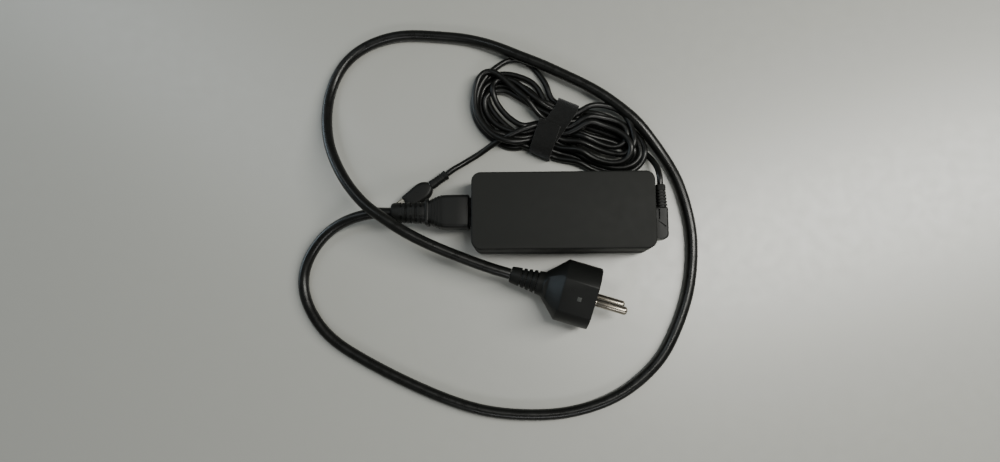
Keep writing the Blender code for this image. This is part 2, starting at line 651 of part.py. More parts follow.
def elbow():
    """The DC outlet's right-angled strain relief: a block on the brick's end and a ribbed arm
    that lies along it. It is lofted along its own X, which its frame turns towards +Y."""
    frame = place("elbow_place", (0, 0, AXIS_Z), math.radians(90))
    offset = -ELBOW_X / MM
    stations = [(-16.4, 3.9, 4.6, 1.5, 0.6), (-15.6, 4.3, 5.0, 1.8, 0.3), (2.4, 4.35, 5.0, 1.8, 0.3)]
    for rib in range(4):
        x = 4.6 + 2.6 * rib
        half = 4.0 - 0.25 * rib
        lean = 0.2 - 0.05 * rib
        stations += [(x, half, half, 2.2, lean), (x, half - 0.9, half - 0.9, 1.8, lean),
                     (x + 1, half - 0.9, half - 0.9, 1.8, lean), (x + 1, half - 0.1, half - 0.1, 2.2, lean)]
    stations.append((ELBOW_END_Y / MM, 2.9, 2.9, 2.2, 0))
    body = loft("dc_strain_relief", "moulded",
                [(x * MM, y * MM, z * MM, r * MM, (offset + lean) * MM, 0)
                 for x, y, z, r, lean in stations], frame)
    combine(body, block("elbow_neck", "moulded", (-11 * MM, -56 * MM, -3.5 * MM),
                        (-3 * MM, -51 * MM, 3.5 * MM), parent=frame), "UNION")
    combine(body, block("elbow_flange", "moulded", (-13 * MM, -51.4 * MM, -5.5 * MM),
                        (-1 * MM, -49 * MM, 5.5 * MM), parent=frame), "UNION")


def mains_cord():
    frame = bpy.data.objects["mains_plug_place"]
    turn = Matrix.LocRotScale(Vector(PLUG_FACE), frame.rotation_euler, None)
    start = turn @ Vector((PLUG_END_X - GAP, 0, 0))
    end = Vector((BOOT_END_X - GAP, INLET_Y, AXIS_Z))
    straight = end + Vector((-STRAIGHT, 0, 0))
    points = [start, *in_metres(MAINS_ROUTE), straight, end]
    tube("mains_cord", "cord", smooth_line(points, 80), MAINS_RADIUS, 3)


def dc_cord():
    """The DC cord's free stretches: the lead to the hank, two loose loops and the tail."""
    lead = [Vector((ELBOW_X, ELBOW_END_Y + GAP, AXIS_Z)), *in_metres(DC_LEAD_ROUTE)]
    tube("dc_cord_lead", "cord", smooth_line(lead, 9), DC_RADIUS, 2)
    tube("dc_cord_loop_left", "cord", smooth_line(in_metres(LOOP_LEFT_ROUTE), 12), DC_RADIUS, 2)
    tube("dc_cord_loop_right", "cord", smooth_line(in_metres(LOOP_RIGHT_ROUTE), 12), DC_RADIUS, 2)
    turn = Matrix.Translation(USB_FACE) @ Matrix.Rotation(USB_HEADING, 4, "Z")
    start = turn @ Vector((USB_END_X - GAP, 0, 0))
    tail = [start, *in_metres(DC_TAIL_ROUTE)]
    tube("dc_cord_tail", "cord", smooth_line(tail, 9), DC_RADIUS, 2)


def hank():
    """The wound length of the DC cord, as the outer shape of its turns."""
    outline = [(p.x, p.y) for p in
               smooth_line([(x * MM, y * MM, 0) for x, y in HANK_OUTLINE], 54, closed=True)]
    outline_solid("dc_cord_hank", "cord", [outline], HANK_HIGH - HANK_LOW,
                  Matrix.Translation((0, 0, (HANK_LOW + HANK_HIGH) / 2)))


def cable_tie():
    """A hook-and-loop strap round the hank, with its free end standing past the loop."""
    frame = place("cable_tie_place", (*TIE_CENTRE, (HANK_LOW + HANK_HIGH) / 2), TIE_HEADING)
    half_z = (HANK_HIGH - HANK_LOW) / 2 + GAP
    half_y = BUNDLE_HALF + GAP
    outer = rounded_section(half_y + TIE_THICK, half_z + TIE_THICK, 2.6 * MM)
    inner = rounded_section(half_y, half_z, 1.4 * MM)
    band = outline_solid("cable_tie", "fabric", [outer, inner], TIE_WIDTH, facing_x(0, 0), frame)
    combine(band, block("tie_flap", "fabric",
                        (-TIE_WIDTH / 2, half_y - 2 * MM, half_z + 0.1 * MM),
                        (TIE_WIDTH / 2, half_y + 4.6 * MM, half_z + TIE_THICK - 0.1 * MM),
                        parent=frame), "UNION")


# ---------------------------------------------------------------- inside the brick

def board_and_shields():
    block("heat_spreader_bottom", "aluminium", (-33 * MM, -18.8 * MM, 2.6 * MM),
          (47 * MM, 18.8 * MM, 3.4 * MM))
    block("heat_spreader_top", "aluminium", (-33 * MM, -18.8 * MM, 25.4 * MM),
          (47 * MM, 18.8 * MM, 26.2 * MM))
    block("thermal_pad", "pad", (-4 * MM, -14 * MM, 24.1 * MM),
          (33 * MM, 14 * MM, 25.1 * MM))
    half, thick, low, high = 20.2, 0.4, 3.9, 23.0
    outline = [(half, high), (half, low), (-half, low), (-half, high),
               (thick - half, high), (thick - half, low + thick), (half - thick, low + thick),
               (half - thick, high)]
    outline_solid("insulation_sheet", "insulator", [[(y * MM, z * MM) for y, z in outline]],
                  80 * MM, facing_x(7 * MM, 0))
    block("circuit_board", "board", (-33 * MM, -18.8 * MM, BOARD_LOW),
          (48 * MM, 18.8 * MM, BOARD_TOP))


def stander(name, look, low, high, corner=0.0, edge=0.0):
    """A component that stands on the board. low and high are (x, y) in millimetres, and high
    also gives its top."""
    return block(name, look, (low[0] * MM, low[1] * MM, STAND),
                 (high[0] * MM, high[1] * MM, high[2] * MM), corner=corner, edge=edge)


def mains_filter():
    stander("fuse", "ceramic", (-31.5, 8.5), (-28.2, 17.5, 15.6), corner=0.8 * MM)
    rod("varistor", "blue", (-30.6 * MM, -12.5 * MM, 13.6 * MM),
        (-26.8 * MM, -12.5 * MM, 13.6 * MM), 5.4 * MM)
    stander("x_capacitor", "yellow", (-27.6, -6.6), (-19.6, 11, 21.5), edge=0.5 * MM)
    core = rod("choke_core", "ferrite", (-17.3 * MM, 0, 16.2 * MM),
               (-13.1 * MM, 0, 16.2 * MM), 6.7 * MM, sides=28)
    combine(core, rod("choke_hole", "ferrite", (-19 * MM, 0, 16.2 * MM),
                      (-11 * MM, 0, 16.2 * MM), 4.1 * MM, sides=28))
    for name, lean in (("choke_winding_line", -1), ("choke_winding_neutral", 1)):
        choke_winding(name, lean)


def choke_winding(name, side):
    """Turns of enamelled wire round one half of the toroid."""
    points = []
    turns, steps = 5, 12
    for step in range(turns * steps + 1):
        around = math.radians(side * (40 + 100 * step / (turns * steps)))
        turn = math.tau * step / steps
        ring = 5.4 * MM + 2.45 * MM * squared(math.cos(turn))
        points.append(Vector((-15.2 * MM + 2.95 * MM * squared(math.sin(turn)),
                              ring * math.sin(around), 16.2 * MM + ring * math.cos(around))))
    tube(name, "copper", points, 0.45 * MM, 1)


def squared(wave):
    """Pushes a cosine out towards a rounded square, so that a turn follows the core's edges."""
    return math.copysign(math.sqrt(abs(wave)), wave)


def power_stage():
    stander("primary_heatsink", "aluminium", (-7.4, -17), (-6.2, 17, 23.4))
    stander("bridge_rectifier", "chip", (-11.2, 3), (-7.7, 17, 19.5), corner=0.6 * MM)
    stander("switching_transistor", "chip", (-5.9, 4.5), (-1.6, 14.5, 20), corner=0.4 * MM)
    rod("bulk_capacitor", "sleeve", (-1 * MM, -10.6 * MM, 16 * MM),
        (24 * MM, -10.6 * MM, 16 * MM), 7.8 * MM, sides=32)
    for side, low, high in (("lower", STAND / MM, 11.4), ("upper", 18.9, 23.4)):
        block("transformer_core_" + side, "ferrite", (1.5 * MM, -1.4 * MM, low * MM),
              (23 * MM, 18 * MM, high * MM), edge=0.6 * MM)
    bobbin = rod("transformer_bobbin", "phenolic", (12.2 * MM, 8.3 * MM, 11.7 * MM),
                 (12.2 * MM, 8.3 * MM, 18.6 * MM), 9.0 * MM, sides=28)
    groove = rod("bobbin_groove", "phenolic", (12.2 * MM, 8.3 * MM, 12.6 * MM),
                 (12.2 * MM, 8.3 * MM, 17.7 * MM), 12 * MM, sides=28)
    combine(groove, rod("bobbin_post", "phenolic", (12.2 * MM, 8.3 * MM, 11 * MM),
                        (12.2 * MM, 8.3 * MM, 19 * MM), 5 * MM, sides=28))
    combine(bobbin, groove)
    winding = rod("transformer_winding", "tape", (12.2 * MM, 8.3 * MM, 12.9 * MM),
                  (12.2 * MM, 8.3 * MM, 17.4 * MM), 8.6 * MM, sides=28)
    combine(winding, rod("winding_hole", "tape", (12.2 * MM, 8.3 * MM, 12 * MM),
                         (12.2 * MM, 8.3 * MM, 19 * MM), 5.3 * MM, sides=28))


def output_stage():
    stander("y_capacitor", "blue", (25.0, 8), (28.0, 15, 15), corner=1.2 * MM)
    stander("optocoupler", "chip", (24.6, -4.5), (28.6, 0.5, 11.2))
    stander("secondary_heatsink", "aluminium", (30, -17), (31.2, 17, 23.4))
    stander("synchronous_rectifier", "chip", (31.5, 4.5), (35.8, 14.5, 20), corner=0.4 * MM)
    for name, y in (("output_capacitor_a", -13.0), ("output_capacitor_b", -3.6)):
        rod(name, "sleeve", (37.6 * MM, y * MM, STAND), (37.6 * MM, y * MM, 20 * MM), 4.1 * MM)
    stander("output_choke", "ferrite", (37.4, 5.6), (43, 14.4, 14.5), corner=1.5 * MM, edge=0.6 * MM)
    stander("usb_pd_board", "board", (44.6, -16), (45.8, 16, 22))


# ---------------------------------------------------------------- build

def build():
    global PARTS, CUTTERS
    clear_scene()
    PARTS = make_collection("laptop_power_adapter")
    CUTTERS = make_collection("cutters")
    top_shell()
    bottom_shell()
    rating_label()
    inlet()
    board_and_shields()
    mains_filter()
    power_stage()
    output_stage()
    elbow()
    mains_connector()
    mains_plug()
    usb_plug()
    mains_cord()
    dc_cord()
    hank()
    cable_tie()
    bpy.context.view_layer.update()


build()
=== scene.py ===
"""The looks of the laptop power adapter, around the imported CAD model. Blender 4.5, metres, +Z up.

Every piece is built in a local frame of its own, in millimetres, and placed from the frame's
boxes and mounts. The two cords come first, then the pieces on them, the brick, and the materials
of the CAD nodes that stay.
"""

import json
import math

import bmesh
import bpy
import numpy as np
from mathutils import Euler, Matrix, Vector


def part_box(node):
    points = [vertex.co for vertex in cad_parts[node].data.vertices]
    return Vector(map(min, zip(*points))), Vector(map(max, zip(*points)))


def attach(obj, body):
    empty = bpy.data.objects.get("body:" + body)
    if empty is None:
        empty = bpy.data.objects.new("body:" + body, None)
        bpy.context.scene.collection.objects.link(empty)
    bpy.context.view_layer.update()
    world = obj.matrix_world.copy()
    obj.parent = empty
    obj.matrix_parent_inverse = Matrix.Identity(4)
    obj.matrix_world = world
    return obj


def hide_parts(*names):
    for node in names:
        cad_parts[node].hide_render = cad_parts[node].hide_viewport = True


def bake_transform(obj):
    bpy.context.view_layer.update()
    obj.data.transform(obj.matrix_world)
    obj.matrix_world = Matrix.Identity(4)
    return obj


MM = 0.001
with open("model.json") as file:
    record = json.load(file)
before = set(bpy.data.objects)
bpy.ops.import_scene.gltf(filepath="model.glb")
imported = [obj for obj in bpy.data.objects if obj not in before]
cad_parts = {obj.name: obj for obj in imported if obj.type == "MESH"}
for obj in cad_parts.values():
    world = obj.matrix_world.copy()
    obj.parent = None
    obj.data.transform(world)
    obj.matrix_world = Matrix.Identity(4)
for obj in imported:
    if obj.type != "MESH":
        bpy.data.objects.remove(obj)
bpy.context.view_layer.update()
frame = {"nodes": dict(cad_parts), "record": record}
MOUNTS = {mount["name"]: mount for mount in frame["record"]["mounts"]}

# Bodies
ADAPTER = "adapter"
CONNECTOR = "mains_connector"

# Cords, mm
MAINS_DIAMETER = 6.7
DC_DIAMETER = 3.7
GAP = 0.3

# Centreline of the mains cord from its plug to its connector, as in the CAD model, mm
MAINS_ROUTE = (
    (-37, -35, 18.2), (-45, -32.6, 18.6), (-60, -27, 19.6), (-75, -21, 21.2), (-88, -15, 22.9),
    (-97, -10, 24.0), (-103, -6, 24.5), (-110, -1, 24.7), (-115, 2, 24.4), (-123, 10, 22.4),
    (-133, 23, 18.6), (-143, 43, 13.0), (-147, 63, 7.6), (-146, 81, 4.3), (-140, 97, 3.4),
    (-130, 108, 3.4), (-117, 115, 3.4), (-100, 119, 3.4), (-79, 118, 3.4), (-60, 116, 3.4),
    (-46, 112, 4.6), (-36, 107.5, 7.0), (-26, 102.6, 7.6), (-12, 97, 7.6), (2, 90, 7.6),
    (16, 83, 7.6), (29, 75, 7.6), (40, 66, 7.6), (48, 59, 7.4), (58, 46, 5.0),
    (65, 36, 3.6), (72, 23, 3.4), (76, 10, 3.4), (79, -4, 3.4), (80, -20, 3.4),
    (77, -45, 3.4), (69, -68, 3.4), (57, -89, 3.4), (34, -108, 3.4), (6, -118, 3.4),
    (-22, -120, 3.4), (-50, -117, 3.4), (-80, -107, 3.4), (-116, -90, 3.4), (-143, -73, 3.4),
    (-157, -53, 3.4), (-160, -37, 3.5), (-156, -24, 4.6), (-148, -13, 6.8), (-138, -5.4, 9.6),
    (-127, -1.2, 12.7),
)

# The DC cord, mm: from the outlet's strain relief into the hank, and out of it to the USB-C plug
LEAD_ROUTE = (
    (59.3, 22, 14.4), (58.4, 28, 12.2), (56.0, 34, 8.2), (52.0, 39.4, 4.0), (46.5, 43.4, 1.9),
    (38, 47.5, 1.75), (26, 52.5, 1.75), (12, 57.5, 2.2),
)
TAIL_ROUTE = (
    (-18, 56.6, 8.4), (-26, 54.2, 8.2), (-34, 51.2, 7.4), (-41.5, 47.6, 5.4), (-48, 43, 3.2),
    (-54, 38.9, 2.0), (-60, 35, 2.2), (-66.8, 30.4, 3.2),
)
# Outermost and innermost turns of the hank's two lobes, (x, y), in the order the cord runs
LEFT_OUTER = (
    (-15.5, 83.4), (-26, 89.4), (-35.5, 90.8), (-44.5, 87.6), (-50.6, 80.5), (-52.3, 71),
    (-50, 62), (-44.5, 54.6), (-36, 49), (-26, 45.8),
)
LEFT_INNER = (
    (-18, 70.4), (-26, 76.2), (-32.7, 80.6), (-39.9, 82), (-45.5, 79.4), (-48.2, 73.3),
    (-47, 66.5), (-42.5, 59.6), (-36, 54.2), (-27.5, 51),
)
RIGHT_OUTER = (
    (10, 36.2), (18, 32), (27, 29.2), (36, 28.2), (44, 30.6), (48.8, 36.2), (48.6, 43),
    (44.8, 49.8), (38, 55.6), (29.5, 60.2), (20.5, 63),
)
RIGHT_INNER = (
    (13, 44.5), (20, 39.6), (28, 36), (35, 34.8), (40.6, 36.8), (43, 42), (41, 47.4),
    (36, 51.2), (29.5, 54), (22.5, 56), (15.5, 57.4),
)
# Turns that stray from the others
LOOSE_LEFT = (
    (-8.4, 83.4), (-13.6, 92), (-19.8, 98.6), (-27.5, 101.2), (-34.5, 99.4), (-40.5, 94.8),
    (-46.5, 89), (-51, 81), (-52.2, 71.5), (-49.4, 61), (-43, 53.4), (-34, 49.4), (-24, 48.4),
)
DIAGONAL_LEFT = (
    (-19.2, 73.6), (-26.4, 80.6), (-34, 88), (-40.4, 93), (-45.6, 93.4), (-50, 88.4),
    (-52.4, 79), (-51.8, 68.5), (-47.6, 59.4), (-40, 52), (-28, 47.8),
)
WIDE_CROSSING = (
    (-20.5, 74.6), (-28.5, 82), (-35.2, 86.4), (-42, 87), (-46, 82), (-45, 74.5),
    (-40.2, 66.4), (-32.8, 58.4), (-24, 53.4),
)
NARROW_CROSSING = (
    (-18.6, 77.4), (-25.6, 84), (-32.6, 88), (-39.6, 88), (-43.4, 82.6), (-41.6, 74.6),
    (-36, 66.6), (-29.4, 60.8), (-22, 57),
)
LOW_RIGHT = (
    (12, 41.5), (19, 36), (27, 31.8), (35, 29.8), (42, 32), (45.2, 38.4), (42, 45),
    (35.4, 48), (28, 49.6), (21, 51), (14, 53),
)
HIGH_RIGHT = (
    (14, 50.6), (21, 47.4), (28, 44.4), (35, 42.8), (41.4, 45), (43.6, 51), (40, 57),
    (33.4, 60), (26, 61.4), (18, 61.8),
)
LOOSE_RIGHT = (
    (13, 46), (22, 42), (32, 38.4), (40, 37.4), (45, 41), (45.8, 48), (44.2, 55), (41.4, 61.5),
    (35.5, 66), (27.5, 68.4), (18.5, 67.8),
)
# One row a turn: left lobe, how far it is lifted, right lobe, and where its two runs pass the
# strap, as (distance across the bundle, layer). A lobe is its share of the way from the inner
# turn to the outer one, or a route of its own.
TURNS = (
    (1.0, 0.0, 0.72, (8.6, 0), (-11.8, 0)),
    (WIDE_CROSSING, 0.5, LOW_RIGHT, (13.4, 1), (-1.6, 0)),
    (0.55, 0.0, 1.0, (5.2, 0), (-15.2, 0)),
    (LOOSE_LEFT, 0.0, 0.8, (15.4, 0), (-8.4, 0)),
    (0.1, 0.0, LOOSE_RIGHT, (6.8, 1), (-5.6, 1)),
    (NARROW_CROSSING, 0.0, HIGH_RIGHT, (10.2, 1), (1.8, 0)),
    (DIAGONAL_LEFT, 2.5, 0.35, (3.4, 1), (-9.0, 1)),
)
LAST_RUN = (-0.5, 1)
TURN_LIFT = 1.2         # how much higher each turn starts than the one before it
STRAP_CENTRE = np.array((-4.0, 55.5))
STRAP_HEADING = math.radians(-24)
BUNDLE_HALF = 16.4      # of the strands' centrelines, across the bundle, under the strap
SLACKEST_BEND = 0.58    # rise of the arc between points 6 mm apart at the tightest bend allowed
BUNDLE_LOW = 3.2
BUNDLE_HIGH = 10.0
LEAD_POINTS = 20        # points of the route that belong to the lead
LEAD_CROSSING = (47.0, 43.0)    # where the hank's right end lies on the lead
CROSSING_REACH = 5.0
CROSSING_HEIGHT = 6.0


# ---------------------------------------------------------------- curves

def smooth_line(points, step):
    """Points about step apart along a smooth curve through the given ones."""
    points = np.asarray(points, float)
    ends = np.vstack([2 * points[0] - points[1], points, 2 * points[-1] - points[-2]])
    fine = []
    for a, b, c, d in zip(ends, ends[1:], ends[2:], ends[3:]):
        for t in np.linspace(0, 1, 20, endpoint=False):
            fine.append(0.5 * (2 * b + (c - a) * t + (2 * a - 5 * b + 4 * c - d) * t ** 2
                               + (3 * b - a - 3 * c + d) * t ** 3))
    fine = np.array(fine + [points[-1]])
    along = distance_along(fine)
    places = np.linspace(0, along[-1], int(round(along[-1] / step)) + 1)
    return np.stack([np.interp(places, along, fine[:, k]) for k in range(3)], 1)


def eased(line, rounds=16):
    """The line with its small bends evened out, except at its ends."""
    line = line.copy()
    for _ in range(rounds):
        line[5:-5] = (line[4:-6] + 2 * line[5:-5] + line[6:-4]) / 4
    return line


def distance_along(points):
    return np.r_[0, np.cumsum(np.linalg.norm(np.diff(points, axis=0), axis=1))]


def tube_mesh(name, points, radius, sides):
    """A round tube along a line of points, mm, closed by flat ends."""
    points = np.asarray(points, float)
    ahead = np.gradient(points, axis=0)
    ahead /= np.linalg.norm(ahead, axis=1)[:, None]
    side = np.cross(ahead[0], (0, 0, 1.0))
    if np.linalg.norm(side) < 0.1:
        side = np.array((1.0, 0, 0))
    rings = []
    for place, direction in zip(points, ahead):
        side = side - direction * (side @ direction)
        side /= np.linalg.norm(side)
        up = np.cross(direction, side)
        rings.append([place + radius * (math.cos(a) * side + math.sin(a) * up)
                      for a in np.linspace(0, math.tau, sides, endpoint=False)])
    return skin_mesh(name, rings)


# ---------------------------------------------------------------- meshes

SHARP = 35              # edges that bend by more than this are shaded sharp, degrees
MERGE = 0.002           # points nearer than this are merged after a cut, mm


def to_mesh(shape, name, sharp=SHARP):
    """Turns a bmesh into a mesh, and frees the bmesh."""
    mesh = bpy.data.meshes.new(name)
    shape.to_mesh(mesh)
    shape.free()
    mesh.shade_smooth()
    mesh.set_sharp_from_angle(angle=math.radians(sharp))
    return mesh


def skin_mesh(name, rings, sharp=SHARP):
    """A closed solid through rings of points, mm, that all have the same number of points."""
    shape = bmesh.new()
    rings = [[shape.verts.new(Vector(point) * MM) for point in ring] for ring in rings]
    for near, far in zip(rings, rings[1:]):
        for corners in zip(near, near[1:] + near[:1], far[1:] + far[:1], far):
            shape.faces.new(corners)
    shape.faces.new(rings[0])
    shape.faces.new(rings[-1])
    bmesh.ops.recalc_face_normals(shape, faces=shape.faces)
    return to_mesh(shape, name, sharp)


def put(name, data):
    """Puts a mesh, a lamp or the camera in the scene."""
    item = bpy.data.objects.new(name, data)
    bpy.context.scene.collection.objects.link(item)
    return item


def add(name, mesh, slot, body=ADAPTER, where=None, replaces=(), look=None):
    """Puts a mesh in the scene as a piece that rides on a body, with its slot's look or
    another one."""
    piece = put(name, mesh)
    piece.matrix_world = where if where is not None else Matrix.Identity(4)
    mesh.materials.clear()
    mesh.materials.append(LOOKS[look or slot])
    if body:
        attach(piece, body)
    if replaces:
        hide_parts(*replaces)
    return piece


def combine(mesh, tool, operation="DIFFERENCE"):
    """The mesh with the tool's mesh cut from it, joined to it or intersected with it."""
    pair = [put("working", m) for m in (mesh, tool)]
    change = pair[0].modifiers.new("change", "BOOLEAN")
    change.operation = operation
    change.solver = "EXACT"
    change.object = pair[1]
    bpy.context.view_layer.update()
    result = bpy.data.meshes.new_from_object(
        pair[0].evaluated_get(bpy.context.evaluated_depsgraph_get()))
    result.name = mesh.name
    for item in pair:
        bpy.data.objects.remove(item)
    shape = bmesh.new()
    shape.from_mesh(result)
    bmesh.ops.remove_doubles(shape, verts=shape.verts, dist=MERGE * MM)
    bmesh.ops.dissolve_degenerate(shape, edges=shape.edges, dist=MERGE * MM)
    shape.to_mesh(result)
    shape.free()
    result.shade_smooth()
    result.set_sharp_from_angle(angle=math.radians(SHARP))
    return result


def box_mesh(low, high, corner=0.0, corner_steps=10, rims=()):
    """A box, mm. corner rounds its upright edges; rims are (height, radius, steps)."""
    low, high = Vector(low) * MM, Vector(high) * MM
    shape = bmesh.new()
    bmesh.ops.create_cube(shape, size=1)
    bmesh.ops.transform(shape, matrix=Matrix.Diagonal((*(high - low), 1)), verts=shape.verts)
    bmesh.ops.translate(shape, vec=(low + high) / 2, verts=shape.verts)
    if corner:
        upright = [e for e in shape.edges if abs(e.verts[0].co.z - e.verts[1].co.z) > 1e-6]
        bmesh.ops.bevel(shape, geom=upright, offset=corner * MM, segments=corner_steps,
                        profile=0.5, affect="EDGES")
    for height, radius, steps in rims:
        rim = [e for e in shape.edges if all(abs(v.co.z - height * MM) < 1e-6 for v in e.verts)]
        bmesh.ops.bevel(shape, geom=rim, offset=radius * MM, segments=steps, profile=0.5,
                        affect="EDGES")
    return to_mesh(shape, "box")


def rod_mesh(start, end, radius, sides=32):
    """A round rod between two points, mm."""
    start, end = Vector(start) * MM, Vector(end) * MM
    shape = bmesh.new()
    bmesh.ops.create_cone(shape, cap_ends=True, segments=sides, radius1=radius * MM,
                          radius2=radius * MM, depth=(end - start).length)
    turn = (end - start).to_track_quat("Z", "Y").to_matrix().to_4x4()
    bmesh.ops.transform(shape, matrix=Matrix.Translation((start + end) / 2) @ turn,
                        verts=shape.verts)
    return to_mesh(shape, "rod")


def section(half_y, half_z, radius, steps=5):
    """(y, z) points of a rectangle with round corners."""
    points = []
    radius = min(radius, half_y, half_z)
    for quarter in range(4):
        centre_y = (1, -1, -1, 1)[quarter] * (half_y - radius)
        centre_z = (1, 1, -1, -1)[quarter] * (half_z - radius)
        for step in range(steps + 1):
            angle = math.radians(90) * (quarter + step / steps)
            points.append((centre_y + radius * math.cos(angle),
                           centre_z + radius * math.sin(angle)))
    return points


def loft_mesh(name, stations, steps=5):
    """A closed solid through rounded-rectangle sections (x, half_y, half_z, radius[, y, z])."""
    rings = []
    for x, half_y, half_z, radius, *shift in stations:
        y, z = shift if shift else (0, 0)
        rings.append([(x, y + a, z + b) for a, b in section(half_y, half_z, radius, steps)])
    return skin_mesh(name, rings)


def turned_mesh(name, profile, steps=96):
    """A solid of revolution about the local X axis from (x, radius) points, mm."""
    shape = bmesh.new()
    rings = []
    for x, radius in profile:
        if radius < 1e-4:
            rings.append([shape.verts.new((x * MM, 0, 0))])
            continue
        rings.append([shape.verts.new((x * MM, radius * MM * math.cos(a),
                                       radius * MM * math.sin(a)))
                      for a in np.linspace(0, math.tau, steps, endpoint=False)])
    for near, far in zip(rings, rings[1:]):
        for i in range(steps):
            j = (i + 1) % steps
            corners = [near[i % len(near)], near[j % len(near)], far[j % len(far)],
                       far[i % len(far)]]
            shape.faces.new(list(dict.fromkeys(corners)))
    bmesh.ops.recalc_face_normals(shape, faces=shape.faces)
    return to_mesh(shape, name, 30)


def prism_mesh(outline, low, high, plane="yz"):
    """A flat outline, mm, extruded from low to high along the axis that plane leaves out."""
    place = {"yz": lambda a, b, level: (level, a, b), "xz": lambda a, b, level: (a, level, b),
             "xy": lambda a, b, level: (a, b, level)}[plane]
    return skin_mesh("prism", [[place(a, b, level) for a, b in outline]
                               for level in (low, high)])


# ---------------------------------------------------------------- materials

class Look:
    """A procedural material under construction, on the object's own coordinates."""

    def __init__(self, name, colour, roughness, metallic=0.0):
        self.material = bpy.data.materials.new(name)
        self.material.use_nodes = True
        self.tree = self.material.node_tree
        self.shader = self.tree.nodes["Principled BSDF"]
        self.colour = colour
        self.set("Base Color", (*colour, 1))
        self.set("Roughness", roughness)
        self.set("Metallic", metallic)
        self.material.diffuse_color = (*colour, 1)
        self.place = self.tree.nodes.new("ShaderNodeTexCoord").outputs["Object"]
        self.height = None

    def set(self, socket, value):
        """Sets a value that is the same all over the surface."""
        self.shader.inputs[socket].default_value = value

    def node(self, kind, **values):
        """A new node, with these inputs or settings."""
        made = self.tree.nodes.new(kind)
        for key, value in values.items():
            if key in made.inputs:
                made.inputs[key].default_value = value
            else:
                setattr(made, key, value)
        return made

    def link(self, source, target):
        self.tree.links.new(source, target)

    def noise(self, size, detail=2.0, distortion=0.0, stretch=(1, 1, 1)):
        """Noise whose blotches are about size millimetres across."""
        made = self.node("ShaderNodeTexNoise", Scale=1 / (size * MM), Detail=detail,
                         Distortion=distortion)
        mapping = self.node("ShaderNodeMapping", Scale=stretch)
        self.link(self.place, mapping.inputs["Vector"])
        self.link(mapping.outputs["Vector"], made.inputs["Vector"])
        return made.outputs["Fac"]

    def spread(self, source, low, high, start=0.3, end=0.7):
        """The source's values from start to end, mapped to low to high."""
        made = self.node("ShaderNodeMapRange")
        self.link(source, made.inputs["Value"])
        for socket, value in (("From Min", start), ("From Max", end), ("To Min", low),
                              ("To Max", high)):
            made.inputs[socket].default_value = value
        return made.outputs["Result"]

    def mottle(self, size, amount):
        """Lightens and darkens the colour in blotches."""
        mix = self.node("ShaderNodeMix", data_type="RGBA")
        dark = [c * (1 - amount) for c in self.colour]
        light = [min(1, c * (1 + amount)) for c in self.colour]
        for socket, value in zip([s for s in mix.inputs if s.type == "RGBA"], (dark, light)):
            socket.default_value = (*value, 1)
        self.link(self.spread(self.noise(size, 3), 0, 1), mix.inputs["Factor"])
        output = [s for s in mix.outputs if s.type == "RGBA"][0]
        self.link(output, self.shader.inputs["Base Color"])
        return self

    def wear(self, size, low, high):
        """Varies the roughness in blotches."""
        self.link(self.spread(self.noise(size, 4), low, high), self.shader.inputs["Roughness"])
        return self

    def bump(self, source, depth, strength=1.0):
        """Adds relief of that depth in millimetres on top of what is there."""
        made = self.node("ShaderNodeBump", Strength=strength, Distance=depth * MM)
        self.link(source, made.inputs["Height"])
        if self.height is not None:
            self.link(self.height, made.inputs["Normal"])
        self.height = made.outputs["Normal"]
        self.link(self.height, self.shader.inputs["Normal"])
        return self


def textured_plastic(name, colour, roughness, grain=0.22, depth=0.02, shine=0.16):
    """Matte moulded plastic with a fine spark-eroded grain."""
    look = Look(name, colour, roughness)
    look.mottle(25, 0.03).wear(6, roughness - 0.02, roughness + 0.03)
    look.bump(look.noise(grain, 2), depth)
    look.set("Specular IOR Level", shine)
    return look.material


def jacket(name, colour, roughness):
    """A smooth PVC cord jacket with faint waves and rubbed patches."""
    look = Look(name, colour, roughness)
    look.mottle(20, 0.15).wear(5, roughness - 0.05, roughness + 0.09)
    look.bump(look.noise(6, 2), 0.06).bump(look.noise(0.35, 2), 0.006)
    look.set("Specular IOR Level", 0.35)
    return look.material


def hook_and_loop(name):
    """Dense loop pile on a woven tape."""
    look = Look(name, (0.0045, 0.0047, 0.0043), 0.95)
    look.mottle(2.2, 0.35)
    loops = look.node("ShaderNodeTexVoronoi", Scale=1 / (0.55 * MM))
    look.link(look.place, loops.inputs["Vector"])
    look.bump(loops.outputs["Distance"], 0.25, 0.8)
    look.bump(look.noise(0.16, 3, 1.0), 0.16, 0.8)
    look.set("Sheen Weight", 0.25)
    look.set("Sheen Roughness", 0.5)
    look.set("Specular IOR Level", 0.15)
    return look.material


def metal(name, colour, roughness, grain=(1, 1, 1)):
    """Bare or plated metal. grain stretches its faint relief along an axis."""
    look = Look(name, colour, roughness, 1.0)
    look.mottle(6, 0.06).wear(5, roughness - 0.01, roughness + 0.02)
    look.bump(look.noise(0.5, 2, stretch=grain), 0.0002)
    return look.material


def plain(name, colour, roughness, mottle=0.1, grain=0.3, depth=0.01):
    """For the pieces inside the brick: a colour with a little life in it."""
    look = Look(name, colour, roughness)
    look.mottle(3, mottle).wear(2, roughness - 0.05, roughness + 0.08)
    look.bump(look.noise(grain, 2), depth)
    return look.material


def wound_tape(name, colour):
    """The shiny tape round a transformer's winding."""
    look = Look(name, colour, 0.4)
    look.mottle(4, 0.08)
    wraps = look.node("ShaderNodeTexWave", Scale=1 / (8 * MM), Distortion=0.6,
                      bands_direction="Z")
    look.link(look.place, wraps.inputs["Vector"])
    look.bump(wraps.outputs["Fac"], 0.05)
    return look.material


